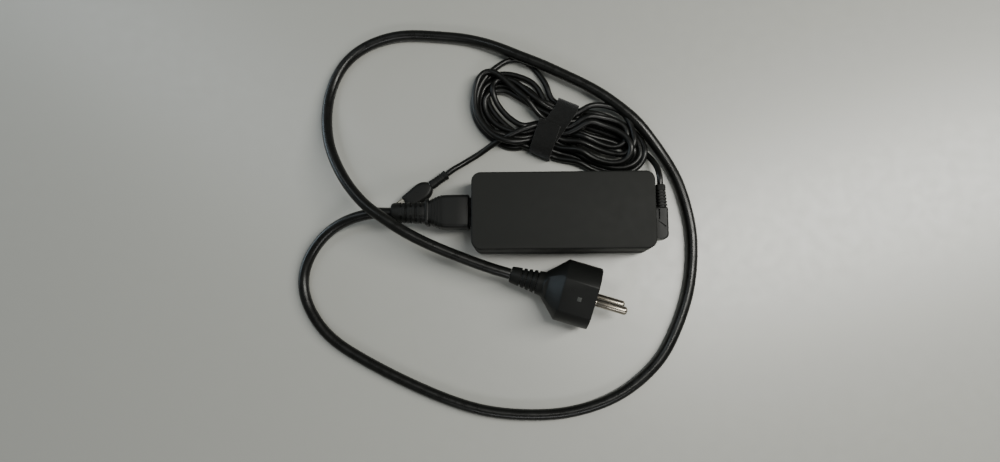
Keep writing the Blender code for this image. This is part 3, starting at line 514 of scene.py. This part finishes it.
def solder_mask(name):
    """A circuit board's green coating over faint tracks."""
    look = Look(name, (0.02, 0.16, 0.07), 0.35)
    look.mottle(1.6, 0.3).wear(1, 0.28, 0.45)
    tracks = look.node("ShaderNodeTexBrick", Scale=1 / (6 * MM))
    look.link(look.place, tracks.inputs["Vector"])
    look.bump(tracks.outputs["Fac"], 0.03)
    return look.material


def make_looks():
    """One look for each of the record's material slots."""
    return {
        "case": textured_plastic("case", (0.0125, 0.0130, 0.0118), 0.58),
        "label": plain("label", (0.03, 0.03, 0.031), 0.42),
        "moulding": textured_plastic("moulding", (0.0068, 0.0072, 0.0066), 0.44, 0.3, 0.012, 0.22),
        "plug_mark": textured_plastic("plug_mark", (0.055, 0.058, 0.055), 0.35),
        "dark_insulator": textured_plastic("dark_insulator", (0.008, 0.008, 0.008), 0.5),
        "mains_jacket": jacket("mains_jacket", (0.0050, 0.0052, 0.0046), 0.28),
        "dc_jacket": jacket("dc_jacket", (0.0046, 0.0048, 0.0044), 0.32),
        "strap": hook_and_loop("strap"),
        "nickel": metal("nickel", (0.36, 0.325, 0.27), 0.26, (0.2, 1, 1)),
        "contact_brass": metal("contact_brass", (0.72, 0.54, 0.25), 0.3),
        "aluminium": metal("aluminium", (0.78, 0.79, 0.80), 0.36, (0.1, 1, 1)),
        "thermal_pad": plain("thermal_pad", (0.40, 0.46, 0.58), 0.9),
        "insulating_film": plain("insulating_film", (0.72, 0.70, 0.62), 0.35),
        "circuit_board": solder_mask("circuit_board"),
        "ceramic": plain("ceramic", (0.75, 0.73, 0.66), 0.45),
        "blue_epoxy": plain("blue_epoxy", (0.04, 0.13, 0.42), 0.25, grain=2, depth=0.08),
        "film_capacitor": plain("film_capacitor", (0.72, 0.55, 0.06), 0.4),
        "ferrite": plain("ferrite", (0.06, 0.06, 0.062), 0.55, 0.2, 0.15, 0.02),
        "copper_wire": metal("copper_wire", (0.70, 0.30, 0.13), 0.28),
        "chip_epoxy": plain("chip_epoxy", (0.015, 0.015, 0.015), 0.5, 0.15, 0.12, 0.015),
        "capacitor_sleeve": plain("capacitor_sleeve", (0.015, 0.017, 0.035), 0.3),
        "winding_tape": wound_tape("winding_tape", (0.72, 0.52, 0.08)),
    }


LOOKS = make_looks()


# ---------------------------------------------------------------- places

def local_frame(origin, heading=0.0, roll=0.0):
    """A piece's own frame: X along its heading, turned by roll about X. The origin is in metres."""
    return Matrix.Translation(origin) @ Euler((roll, 0, heading)).to_matrix().to_4x4()


def heading_of(mount):
    """The direction of a mount's axis on the table, radians."""
    return math.atan2(mount["axis"][1], mount["axis"][0])


def cad_box(*nodes):
    """Lowest and highest corners, mm, of some nodes together."""
    boxes = np.array([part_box(node) for node in nodes]) / MM
    return boxes[:, 0].min(0), boxes[:, 1].max(0)


PLUG_ROLL = math.radians(12.8)      # the plug leans on its lower edge
PLUG_FRAME = local_frame(MOUNTS["mains_plug_face"]["pos_m"],
                         heading_of(MOUNTS["mains_plug_face"]), PLUG_ROLL)
PLUG_END = -51.5        # the back end of the plug's ribbed relief, on its own axis
USB_FACE_RISE = 2.2     # how far the USB-C mount is above the plug's axis
USB_FRAME = local_frame(Vector(MOUNTS["usb_plug_face"]["pos_m"])
                        - Vector((0, 0, USB_FACE_RISE * MM)),
                        heading_of(MOUNTS["usb_plug_face"]))
USB_END = -31.3         # the back end of the USB-C plug's relief, on its own axis
SHELL_LOW, SHELL_HIGH = cad_box("top_shell", "bottom_shell")
INLET_LOW, INLET_HIGH = cad_box("inlet_housing")
INLET_Y = (INLET_LOW[1] + INLET_HIGH[1]) / 2
AXIS_Z = (INLET_LOW[2] + INLET_HIGH[2]) / 2
BOOT_END, CONNECTOR_FRONT = (b[0] for b in cad_box("mains_connector_overmould"))
CONNECTOR_FRAME = local_frame(Vector((CONNECTOR_FRONT, INLET_Y, AXIS_Z)) * MM)
ELBOW_LOW, ELBOW_HIGH = cad_box("dc_strain_relief")
ELBOW_AXIS_X = 59.3     # the outlet relief's arm runs along world Y at this X
STRAP_FRAME = local_frame(Vector((*STRAP_CENTRE, 0)) * MM, STRAP_HEADING)


def in_world(where, x):
    """A point on a piece's own axis, in world millimetres."""
    return tuple((where @ Vector((x * MM, 0, 0))) / MM)


# ---------------------------------------------------------------- mains cord

STRAIGHT = 12.0         # length of mains cord, mm, that is straight behind the connector
MAINS_SIDES = 32


def mains_cord():
    """The mains cord from its connector to its plug."""
    end = Vector((BOOT_END - GAP, INLET_Y, AXIS_Z))
    route = [in_world(PLUG_FRAME, PLUG_END - GAP), *MAINS_ROUTE,
             tuple(end - Vector((STRAIGHT, 0, 0))), tuple(end)]
    line = eased(smooth_line(route, 2.2))[::-1]
    mesh = tube_mesh("mains_cord_jacket", line, MAINS_DIAMETER / 2, MAINS_SIDES)
    cord = add("mains_cord_jacket", mesh, "mains_jacket", body=None,
               replaces=("mains_cord",))
    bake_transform(cord)
    return cord, line


# ---------------------------------------------------------------- DC cord

LAYER = 3.1             # between the layers of strands under the strap
HOLD_REACH = 7.5        # how far from the strap's middle it holds the strands
LEFT_HEIGHT = 2.0       # of the first turn's two lobes before they settle
RIGHT_HEIGHT = 5.8
CLEARANCE = DC_DIAMETER + 0.06      # between the centrelines of strands that touch
SINK = 0.06             # how far the strands sink in one round
LAST_ROUNDS = 60        # rounds at the end that push the strands apart more often


def across_strap(x, y, z):
    """A point given in the strap's own directions, in world millimetres."""
    c, s = math.cos(STRAP_HEADING), math.sin(STRAP_HEADING)
    return (STRAP_CENTRE[0] + x * c - y * s, STRAP_CENTRE[1] + x * s + y * c, z)


def run_under_strap(slot, direction):
    """Both ends of one run through the strap. direction is -1 towards the left lobe."""
    y, layer = slot
    z = BUNDLE_LOW + LAYER * layer
    return [across_strap(-7 * direction, y, z), across_strap(7 * direction, y, z)]


def lobe(which, inner, outer):
    """A lobe's (x, y) points: a share of the way from inner to outer, or its own route."""
    if isinstance(which, tuple):
        return which
    inner, outer = np.array(inner), np.array(outer)
    return inner + (outer - inner) * which


def dc_route():
    """The DC cord's whole centreline before its strands have settled."""
    start = (ELBOW_AXIS_X, ELBOW_HIGH[1] + GAP, AXIS_Z)
    points = [start, *LEAD_ROUTE]
    for turn, (left, lift, right, going, coming) in enumerate(TURNS):
        points += run_under_strap(going, -1)
        height = LEFT_HEIGHT + TURN_LIFT * turn + lift
        points += [(x, y, height) for x, y in lobe(left, LEFT_INNER, LEFT_OUTER)]
        points += run_under_strap(coming, 1)
        height = RIGHT_HEIGHT + TURN_LIFT * turn
        points += [(x, y, height) for x, y in lobe(right, RIGHT_INNER, RIGHT_OUTER)]
    points += run_under_strap(LAST_RUN, -1)
    points += [*TAIL_ROUTE, in_world(USB_FRAME, USB_END - GAP)]
    return smooth_line(points, 3.0)


def settle(line, rounds):
    """Lets the strands sink and push each other apart until they lie on each other.

    Only the displacement from the first route is smoothed, so the cord keeps its curves and
    stays stiff. The table, the brick and the strap hold it.
    """
    count = len(line)
    index = np.arange(count)
    spacing = distance_along(line)[-1] / (count - 1)
    apart = np.triu(index[None, :] - index[:, None] > math.ceil(1.6 * CLEARANCE / spacing))
    free = np.ones((count, 1))
    free[:3] = free[-3:] = 0
    along = np.array((math.cos(STRAP_HEADING), math.sin(STRAP_HEADING)))
    across = np.array((-along[1], along[0]))
    shift = np.zeros_like(line)
    for step in range(rounds):
        shift[:, 2] -= SINK * free[:, 0]
        shift[:, :2] *= 1 - 0.01 * max(0.0, 1 - 1.2 * step / rounds)
        for _ in range(3):
            shift[1:-1] += 0.5 * ((shift[:-2] + shift[2:]) / 2 - shift[1:-1])
        now = line + shift
        unkink(now)
        for _ in range(6 if step > rounds - LAST_ROUNDS else 2):
            push_apart(now, apart)
            hold(now, along, across)
        shift = (now - line) * free
    return eased(line + shift, 1)


def push_apart(now, apart):
    """Moves the points of strands that overlap away from each other, part of the way."""
    gap = now[:, None, :] - now[None, :, :]
    near = (gap ** 2).sum(-1)
    i, j = np.nonzero(apart & (near < CLEARANCE ** 2))
    if not len(i):
        return
    length = np.sqrt(near[i, j]) + 1e-9
    push = gap[i, j] / length[:, None] * ((CLEARANCE - length) * 0.3)[:, None]
    for k in range(3):
        now[:, k] += np.bincount(i, push[:, k], len(now)) - np.bincount(j, push[:, k], len(now))


def unkink(now):
    """Eases the points where the cord bends too tightly."""
    bent = (now[:-2] + now[2:]) / 2 - now[1:-1]
    size = np.linalg.norm(bent, axis=1)[:, None] + 1e-9
    now[1:-1] += 0.6 * np.maximum(size - SLACKEST_BEND, 0) / size * bent


def hold(now, along, across):
    """Keeps the strands inside the strap, on the table, on the lead and behind the brick."""
    offset = now[:, :2] - STRAP_CENTRE
    under = np.abs(offset @ along) < HOLD_REACH
    y = offset @ across
    now[under, :2] += ((np.clip(y, -BUNDLE_HALF, BUNDLE_HALF) - y)[:, None] * across)[under]
    now[under, 2] = np.clip(now[under, 2], BUNDLE_LOW, BUNDLE_HIGH)
    now[:, 2] = np.maximum(now[:, 2], DC_DIAMETER / 2 + 0.02)
    crossing = np.linalg.norm(now[LEAD_POINTS:, :2] - LEAD_CROSSING, axis=1) < CROSSING_REACH
    height = now[LEAD_POINTS:, 2]
    height[crossing] = np.maximum(height[crossing], CROSSING_HEIGHT)
    brick = SHELL_HIGH[1] + DC_DIAMETER / 2 + 0.5
    behind = (now[:, 1] < brick) & (np.abs(now[:, 0]) < SHELL_HIGH[0])
    now[behind, 1] = brick


def dc_cord():
    """The USB-C lead, from the outlet through the hank to its plug."""
    line = settle(dc_route(), 240)
    line = smooth_line(line, 1.4)
    mesh = tube_mesh("dc_cord_jacket", line, DC_DIAMETER / 2, 16)
    cord = add("dc_cord_jacket", mesh, "dc_jacket", replaces=(
        "dc_cord_lead", "dc_cord_hank", "dc_cord_loop_left", "dc_cord_loop_right",
        "dc_cord_tail"))
    return cord, line


# ---------------------------------------------------------------- strap

STRAP_THICK = 1.1
STRAP_WIDE = 14.0


def ribbon_mesh(name, path, shifts, width):
    """A soft tape along a path of (y, z) points, mm, each shifted along X, with round edges."""
    ahead = np.gradient(path, axis=0)
    ahead /= np.linalg.norm(ahead, axis=1)[:, None]
    edge = section(width / 2, STRAP_THICK / 2, STRAP_THICK / 2 - 0.05, 3)
    rings = [[(shift + a, y - dz * b, z + dy * b) for a, b in edge]
             for (y, z), (dy, dz), shift in zip(path, ahead, shifts)]
    return skin_mesh(name, rings, 50)


def strap(top):
    """The strap goes once round the bundle and ends on top of its own start. top is the height
    of the strands that it holds."""
    half = BUNDLE_HALF + DC_DIAMETER / 2 + 0.35 + STRAP_THICK / 2
    low = STRAP_THICK / 2 + 0.08
    high = top + 0.25 + STRAP_THICK / 2
    layer = STRAP_THICK + 0.12
    path = [(y, high - 0.4 * (y / half) ** 2) for y in np.linspace(-9, half - 4, 14)]
    path += bend(half - 4, high - 4.2, 4, 3.8, 90, 0)
    path += [(half, z) for z in np.linspace(high - 5, low + 3.5, 3)]
    path += bend(half - 3, low + 3, 3, 3, 0, -90)
    path += [(y, low) for y in np.linspace(half - 4, 4 - half, 14)]
    path += bend(3 - half, low + 3, 3, 3, -90, -180)
    path += [(-half, z) for z in np.linspace(low + 3.5, high - 5, 3)]
    path += bend(4 - half - 0.2, high - 4.2 + layer, 4, 3.8, 180, 90)
    path += [(y, high + layer - 0.5 * (y / half) ** 2) for y in np.linspace(5 - half, 1.5, 10)]
    path = np.array(path)
    along = distance_along(path)
    fine = np.linspace(0, along[-1], 150)
    path = np.stack([np.interp(fine, along, path[:, k]) for k in range(2)], 1)
    for _ in range(4):
        path[1:-1] = (path[:-2] + 2 * path[1:-1] + path[2:]) / 4
    share = fine / along[-1]
    shifts = np.interp(share, (0, 0.22, 0.5, 0.75, 1), (-1.5, 2.6, 1.6, -1.0, -3.0))
    mesh = ribbon_mesh("strap_band", path, shifts, STRAP_WIDE)
    band = add("strap_band", mesh, "strap", where=STRAP_FRAME,
               replaces=("cable_tie",))
    soften(band, 0.3)
    return band


def bend(y, z, radius_y, radius_z, start, end):
    """Points of a quarter turn about (y, z)."""
    return [(y + radius_y * math.cos(math.radians(a)), z + radius_z * math.sin(math.radians(a)))
            for a in np.linspace(start, end, 7)]


def soften(piece, depth):
    """Gives a piece's surface a slight unevenness, in its geometry."""
    texture = bpy.data.textures.new(piece.name, "CLOUDS")
    texture.noise_scale = 4 * MM
    subdivide = piece.modifiers.new("subdivide", "SUBSURF")
    subdivide.levels = subdivide.render_levels = 1
    move = piece.modifiers.new("unevenness", "DISPLACE")
    move.texture = texture
    move.texture_coords = "LOCAL"
    move.strength = depth * MM
    bpy.context.view_layer.update()
    mesh = bpy.data.meshes.new_from_object(
        piece.evaluated_get(bpy.context.evaluated_depsgraph_get()))
    piece.modifiers.clear()
    piece.data = mesh


# ---------------------------------------------------------------- mains connector

def connector_overmould():
    """The moulded body with grip ridges, a flange and a slotted boot, mm along local X."""
    length = CONNECTOR_FRONT - BOOT_END
    flare = ((0, 9.7, 6.4, 2.0), (-0.25, 9.95, 6.65, 2.1), (-0.7, 10.1, 6.8, 2.2),
             (-8, 10.1, 6.8, 2.3), (-14, 10.05, 6.8, 2.4), (-15.6, 9.95, 6.8, 2.5))
    stations = list(flare)
    for ridge in range(4):
        x = -16.4 - 1.75 * ridge
        t = (-15.6 - x) / 8.0
        wide = 9.95 - 3.1 * t ** 1.6
        stations += [(x, wide, 6.78 - 0.2 * t, 2.7 + t),
                     (x - 0.25, wide + 0.12, 7.02 - 0.2 * t, 2.7 + t),
                     (x - 0.6, wide + 0.02, 7.02 - 0.2 * t, 2.7 + t),
                     (x - 0.85, wide - 0.22, 6.72 - 0.2 * t, 2.8 + t)]
    stations += [(-24.2, 6.9, 6.5, 3.7), (-24.35, 7.9, 6.9, 3.4), (-24.6, 8.05, 7.0, 3.4),
                 (-26.0, 8.05, 7.0, 3.4), (-26.3, 7.8, 6.8, 3.4), (-26.4, 6.4, 6.3, 4.6)]
    grooves = []
    for rib in range(5):
        x = -28.4 - 3.0 * rib
        wide = 6.45 - 0.07 * rib
        deep = wide - 0.9
        stations += [(x + 0.1, wide, wide, 4.9), (x, wide - 0.15, wide - 0.15, 4.8),
                     (x - 0.05, deep, deep, 4.3), (x - 1.05, deep, deep, 4.3),
                     (x - 1.1, wide - 0.15, wide - 0.15, 4.8), (x - 1.2, wide, wide, 4.9)]
        grooves.append((x - 0.55, wide))
    stations += [(-43.2, 6.1, 6.1, 5.0), (-45.5, 6.0, 6.0, 5.2), (1.0 - length, 5.9, 5.9, 5.3),
                 (0.3 - length, 5.6, 5.6, 5.2), (-length, 5.0, 5.0, 4.8)]
    body = loft_mesh("connector_body", stations, 6)
    for count, (x, wide) in enumerate(grooves):
        body = combine(body, groove_bridges(x, wide, count), "UNION")
    pocket = box_mesh((-12.3, -8.3, -5.3), (1, 8.3, 5.3))
    body = combine(body, pocket)
    return add("connector_body", body, "moulding", CONNECTOR,
               CONNECTOR_FRAME, ("mains_connector_overmould",))


def groove_bridges(x, wide, count):
    """Two webs across one of the boot's grooves: at its sides, or at its top and bottom."""
    reach = wide - 0.12
    if count % 2:
        return box_mesh((x - 0.9, -reach, -2.4), (x + 0.9, reach, 2.4))
    return box_mesh((x - 0.9, -2.4, -reach), (x + 0.9, 2.4, reach))


# ---------------------------------------------------------------- mains plug

PIN_OFFSET = 9.5        # of each pin from the plug's axis, mm
PIN_RADIUS = 2.4
PIN_LENGTH = 19.0
PIN_TIP = 1.7           # radius of the rounding at a pin's tip
EARTH_OFFSET = 10.0     # of the earth hole from the plug's axis
EARTH_RADIUS = 3.3


def plug_profile():
    """(x, radius) of the plug, mm, from its face back to the end of its ribbed relief."""
    profile = [(0, 0), (0, 18.25), (-0.1, 18.42), (-0.3, 18.5), (-19.9, 18.5), (-20.2, 18.4),
               (-20.5, 18.2), (-31, 7.75), (-31.8, 7.3), (-33.6, 7.15)]
    for rib in range(4):
        x = -35.0 - 3.1 * rib
        radius = 7.0 - 0.42 * rib
        profile += [(x + 0.15, radius), (x, radius - 0.15), (x - 0.1, radius - 1.1),
                    (x - 1.0, radius - 1.15), (x - 1.1, radius - 0.3), (x - 1.25, radius - 0.12)]
    profile += [(-50.6, 4.95), (-51.2, 4.75), (PLUG_END, 4.3), (PLUG_END, 0)]
    return profile


def plug_side():
    """The plug's outline from the side, mm: two flats and the facets behind them."""
    upper = [(1, 16.0), (-19.2, 16.0), (-19.9, 15.75), (-20.4, 15.3), (-27.6, 8.5),
             (-28.4, 8.0), (-33, 7.9), (-53, 7.9)]
    return upper + [(x, -z) for x, z in reversed(upper)]


def mains_plug():
    """The plug's moulded body with its recess, side channels and marks, and the pieces in it."""
    body = turned_mesh("plug_body", plug_profile(), 128)
    body = combine(body, prism_mesh(plug_side(), -22, 22, "xz"), "INTERSECT")
    recess = section(15.7, 12.9, 9.3, 10)
    body = combine(body, prism_mesh(recess, -9.9, 5))
    channel = box_mesh((-16.9, -25, -2.6), (5, 25, 2.6))
    core = box_mesh((-15.5, -16.9, -3), (6, 16.9, 3))
    body = combine(body, combine(channel, core))
    body = combine(body, rod_mesh((-16, EARTH_OFFSET, 0), (1, EARTH_OFFSET, 0),
                                  EARTH_RADIUS, 40))
    square, gate = flat_marks()
    body = combine(body, gate, "UNION")
    for side in (-1, 1):
        body = combine(body, web_row(side), "UNION")
    shell = add("plug_body", body, "moulding", where=PLUG_FRAME,
                replaces=("plug_overmould",))
    mark = add("plug_mark", square, "moulding", where=PLUG_FRAME, look="plug_mark")
    return [shell, mark, pin_carrier(), *plug_pins()]


def flat_marks():
    """A small inlaid square and a shallow gate mark on the plug's upper flat."""
    square = box_mesh((-10.6, -1.3, 15.98), (-8.2, 1.1, 16.12), rims=((16.12, 0.05, 2),))
    ring = rod_mesh((-14.2, 3.3, 15.5), (-14.2, 3.3, 16.1), 1.3, 32)
    return square, ring


def web_row(side):
    """The webs that join the relief's ribs along one side."""
    return prism_mesh([(-34.6, side * 0.9), (-46.2, side * 0.9), (-46.2, -side * 0.9),
                       (-34.6, -side * 0.9)], side * 4.2, side * 5.4, "xy")


def pin_carrier():
    """The hard carrier in the plug's face, with its rim, pin holes and earth hole."""
    carrier = prism_mesh(section(15.4, 12.6, 9, 12), -9.6, 0)
    for side in (-1, 1):
        z = PIN_OFFSET * side
        carrier = combine(carrier, rod_mesh((-11, 0, z), (1, 0, z), 2.7, 40))
        carrier = combine(carrier, rod_mesh((-0.35, 0, z), (1, 0, z), 4.4, 48))
    carrier = combine(carrier, rod_mesh((-11, EARTH_OFFSET, 0), (1, EARTH_OFFSET, 0),
                                        EARTH_RADIUS, 40))
    return add("pin_carrier", carrier, "dark_insulator",
               where=PLUG_FRAME, replaces=("plug_pin_carrier",))


def plug_pins():
    """The two round pins, with rounded tips and a faint ring near the plug's face."""
    profile = [(PIN_LENGTH, 0)]
    for step in range(1, 9):
        angle = math.radians(90 * step / 8)
        profile.append((PIN_LENGTH - PIN_TIP * (1 - math.cos(angle)),
                        PIN_RADIUS - PIN_TIP * (1 - math.sin(angle))))
    profile += [(0.9, PIN_RADIUS), (0.7, PIN_RADIUS - 0.08), (0.5, PIN_RADIUS),
                (-8.5, PIN_RADIUS), (-8.5, 0)]
    pins = []
    for name, side in (("lower", -1), ("upper", 1)):
        where = PLUG_FRAME @ Matrix.Translation((0, 0, side * PIN_OFFSET * MM))
        pins.append(add("plug_pin_round_" + name, turned_mesh("pin", profile, 64),
                        "nickel", where=where,
                        replaces=("plug_pin_" + name,)))
    return pins


# ---------------------------------------------------------------- USB-C plug

USB_BODY_END = -18.8    # the back end of the plug's housing, on its own axis


def usb_plug():
    """The housing, hollow round the metal tip, and the ribbed relief behind it."""
    stations = [(0, 4.5, 2.75, 1.9), (-0.15, 4.7, 2.95, 2.0), (-0.5, 4.85, 3.1, 2.1),
                (-3, 5.0, 3.18, 2.2), (-7, 5.35, 3.2, 2.3), (-10.5, 5.75, 3.2, 2.4),
                (-12.5, 5.85, 3.2, 2.5), (-14.2, 5.65, 3.2, 2.6), (-15.8, 5.15, 3.15, 2.7),
                (-17.2, 4.35, 3.05, 2.7), (-18.2, 3.5, 2.9, 2.6), (-18.7, 3.0, 2.7, 2.3),
                (USB_BODY_END, 2.8, 2.5, 2.1)]
    body = loft_mesh("usb_plug_body", stations, 8)
    body = combine(body, prism_mesh(section(4.47, 1.58, 1.5, 8), -14, 1))
    grip = rod_mesh((-9.2, 0, 3.05), (-9.2, 0, 4), 1.6, 40)
    body = combine(body, grip)
    housing = add("usb_plug_body", body, "moulding", where=USB_FRAME,
                  replaces=("usb_c_housing",))
    start = USB_BODY_END - GAP
    stations = [(start, 2.6, 2.45, 2.0), (start - 0.2, 2.8, 2.65, 2.1),
                (start - 3.2, 2.8, 2.65, 2.1)]
    for rib in range(4):
        x = start - 3.9 - 1.7 * rib
        stations += [(x, 2.78, 2.62, 2.1), (x - 0.06, 2.45, 2.3, 1.9), (x - 0.6, 2.45, 2.3, 1.9),
                     (x - 0.66, 2.78, 2.62, 2.1)]
    stations += [(USB_END + 1.8, 2.8, 2.65, 2.2), (USB_END + 1.2, 3.0, 2.85, 2.3),
                 (USB_END + 0.3, 3.0, 2.85, 2.3), (USB_END, 2.5, 2.4, 2.1)]
    relief = add("usb_plug_relief", loft_mesh("usb_plug_relief", stations, 6),
                 "moulding", where=USB_FRAME,
                 replaces=("usb_c_strain_relief",))
    return [housing, relief]


# ---------------------------------------------------------------- DC outlet

def outlet_relief():
    """The right-angled relief on the brick's end: a block with a rounded corner, then a ribbed
    arm along the end wall. It is lofted along world Y."""
    where = local_frame(Vector((ELBOW_AXIS_X, 0, AXIS_Z)) * MM, math.radians(90))
    back = ELBOW_AXIS_X - SHELL_HIGH[0] - GAP
    front = 3.6
    corner = 3.0
    stations = []
    for turn in np.linspace(0, 90, 8):
        turn = math.radians(turn)
        y = ELBOW_LOW[1] + corner * (1 - math.cos(turn))
        stations.append(block_station(y, back, front - corner * (1 - math.sin(turn)), 5.0))
    stations.append(block_station(2.0, back, front, 5.0))
    stations.append(block_station(2.2, back, front - 0.3, 4.8))
    for rib in range(6):
        y = 2.9 + 1.9 * rib
        t = rib / 6
        half = 4.45 - 0.9 * t
        outer = front - 0.25 - 0.5 * t
        inner = 2.9 + 0.1 * t
        stations += [block_station(y, inner, outer, half),
                     block_station(y + 0.05, inner - 0.7, outer - 0.75, half - 0.8),
                     block_station(y + 0.75, inner - 0.7, outer - 0.75, half - 0.8),
                     block_station(y + 0.8, inner, outer, half)]
    end = ELBOW_HIGH[1]
    stations += [block_station(end - 2.3, 2.95, 2.95, 3.5),
                 block_station(end - 0.4, 2.85, 2.85, 3.2), block_station(end, 2.4, 2.4, 2.7)]
    body = loft_mesh("outlet_relief", stations, 6)
    body = combine(body, box_mesh((-11, back - 0.5, -3.5), (-3, back + 3.6, 3.5)), "UNION")
    body = combine(body, box_mesh((-13, back + 2.6, -5.5), (-1, back + 5.0, 5.5)), "UNION")
    slit = [(-5.0, 2.9), (-6.0, 2.3), (-9.6, -1.3), (-8.8, -2.2)]
    body = combine(body, prism_mesh(slit, 3.9, 6, "xy"))
    body = combine(body, box_mesh((-4.8, 1.5, 3.6), (1.6, back + 0.1, 6)))
    return add("outlet_relief", body, "moulding", where=where,
               replaces=("dc_strain_relief",))


def block_station(y, inner, outer, half_z):
    """A section from the brick's side (inner) to the outside (outer) of the relief's axis. In
    the relief's own frame, X is world Y and Y is towards the brick."""
    half = (inner + outer) / 2
    return (y, half, half_z, min(1.6, half), (inner - outer) / 2, 0)


# ---------------------------------------------------------------- brick

WALL = 2.2
CORNER = 5.5
SEAM = 12.0             # height of the line between the two shells
LIP = 2.4               # how far the lower shell's tongue reaches into the upper one
TONGUE = WALL / 2       # thickness of that tongue, less half of the gap round it


def shell_openings(mesh):
    """The inlet's and the DC outlet's holes."""
    mesh = combine(mesh, box_mesh((SHELL_LOW[0] - 1, INLET_LOW[1] - GAP, INLET_LOW[2] - GAP),
                                  (SHELL_LOW[0] + WALL + 1, INLET_HIGH[1] + GAP,
                                   INLET_HIGH[2] + GAP)))
    return combine(mesh, box_mesh((SHELL_HIGH[0] - WALL - 1, -11.3, AXIS_Z - 3.8),
                                  (SHELL_HIGH[0] + 1, -2.7, AXIS_Z + 3.8)))


def inner_box(low_z, high_z, inset):
    """A box inside the brick, inset from its walls."""
    low, high = SHELL_LOW, SHELL_HIGH
    return box_mesh((low[0] + inset, low[1] + inset, low_z),
                    (high[0] - inset, high[1] - inset, high_z), CORNER - inset)


def brick():
    """The two shells, with a tongue and groove at the seam and a recess for the label."""
    low, high = SHELL_LOW, SHELL_HIGH
    top_low = SEAM + GAP / 2
    top = box_mesh((low[0], low[1], top_low), high, CORNER, 14,
                   ((high[2], 1.0, 5), (top_low, 0.18, 2)))
    top = combine(top, inner_box(-5, high[2] - WALL, WALL))
    top = combine(top, inner_box(-5, SEAM + LIP + GAP, TONGUE - GAP / 2))
    top = shell_openings(top)
    add("brick_upper_shell", top, "case", replaces=("top_shell",))
    bottom_high = SEAM - GAP / 2
    bottom = box_mesh(low, (high[0], high[1], bottom_high), CORNER, 14,
                      ((low[2], 1.0, 5), (bottom_high, 0.18, 2)))
    bottom = combine(bottom, inner_box(WALL, SEAM + LIP, TONGUE + GAP / 2), "UNION")
    bottom = combine(bottom, inner_box(WALL, high[2], WALL))
    bottom = shell_openings(bottom)
    bottom = combine(bottom, box_mesh((-41, -17, -1), (41, 17, 0.5), 2, 8))
    add("brick_lower_shell", bottom, "case", replaces=("bottom_shell",))


# ---------------------------------------------------------------- CAD nodes that stay

def dress_cad_nodes():
    """Gives every CAD node the look of its material slot."""
    slots = {part["node"]: part["material_slot"] for part in frame["record"]["subparts"]}
    for name, node in frame["nodes"].items():
        node.data.materials.clear()
        node.data.materials.append(LOOKS[slots[name]])


# ---------------------------------------------------------------- table, light and camera

TABLE_HALF = 1.6        # metres
ROOM_LIGHT = 0.13
CAMERA_LENS = 25.2      # mm, on a sensor 36 mm wide
CAMERA_PLACE = (-0.0251, -0.0656, 0.4331)
CAMERA_TURN = (7.50, 1.73, -0.23)       # degrees


def table():
    """The plain table top under the object, which is not part of it."""
    shape = bmesh.new()
    bmesh.ops.create_grid(shape, x_segments=2, y_segments=2, size=TABLE_HALF)
    look = Look("table", (0.37, 0.372, 0.345), 0.36)
    look.set("Specular IOR Level", 1.0)
    look.mottle(0.5, 0.015).wear(8, 0.34, 0.38)
    look.bump(look.noise(0.7, 3), 0.015)
    top = put("table", to_mesh(shape, "table"))
    top.data.materials.append(look.material)


def area_light(name, place, aim, size, power, colour=(1, 1, 1)):
    """A rectangular lamp at a place, aimed at a point."""
    light = bpy.data.lights.new(name, "AREA")
    light.shape = "RECTANGLE"
    light.size, light.size_y = size
    light.energy = power
    light.color = colour
    lamp = put(name, light)
    lamp.location = place
    lamp.rotation_euler = (Vector(aim) - Vector(place)).to_track_quat("-Z", "Y").to_euler()


def lights():
    """Two long ceiling lamps, a soft front light, a window on the left and the room."""
    area_light("overhead_right", (0.54, 0.12, 0.9), (0.1, 0, 0), (0.16, 0.9), 11.5,
               (1, 0.99, 0.93))
    area_light("overhead_left", (-0.7, 0.45, 1.0), (0, 0, 0), (0.16, 1.0), 2.2, (0.88, 0.96, 1))
    area_light("front", (0.2, -1.2, 1.0), (0, 0, 0), (1.2, 0.3), 6)
    area_light("window", (-1.5, 0.5, 0.22), (0, 0, 0), (0.9, 0.4), 6.5, (0.72, 0.88, 1))
    world = bpy.data.worlds.new("room")
    world.use_nodes = True
    background = world.node_tree.nodes["Background"]
    background.inputs["Color"].default_value = (0.93, 0.96, 0.93, 1)
    background.inputs["Strength"].default_value = ROOM_LIGHT
    bpy.context.scene.world = world


def camera():
    """The photograph's view."""
    data = bpy.data.cameras.new("camera")
    data.sensor_width = 36
    data.lens = CAMERA_LENS
    data.clip_start = 0.01
    item = put("camera", data)
    item.location = CAMERA_PLACE
    item.rotation_euler = [math.radians(a) for a in CAMERA_TURN]
    bpy.context.scene.camera = item


# ---------------------------------------------------------------- build

def strap_top(line):
    """The height of the strands under the strap."""
    along = np.array((math.cos(STRAP_HEADING), math.sin(STRAP_HEADING)))
    held = line[np.abs((line[:, :2] - STRAP_CENTRE) @ along) < 7]
    return held[held[:, 2] < BUNDLE_HIGH + 1][:, 2].max() + DC_DIAMETER / 2


def build():
    """Makes every piece."""
    camera()
    lights()
    table()
    dress_cad_nodes()
    mains, mains_line = mains_cord()
    dc, dc_line = dc_cord()
    band = strap(strap_top(dc_line))
    connector = connector_overmould()
    plug = mains_plug()
    usb = usb_plug()
    outlet = outlet_relief()
    brick()


build()
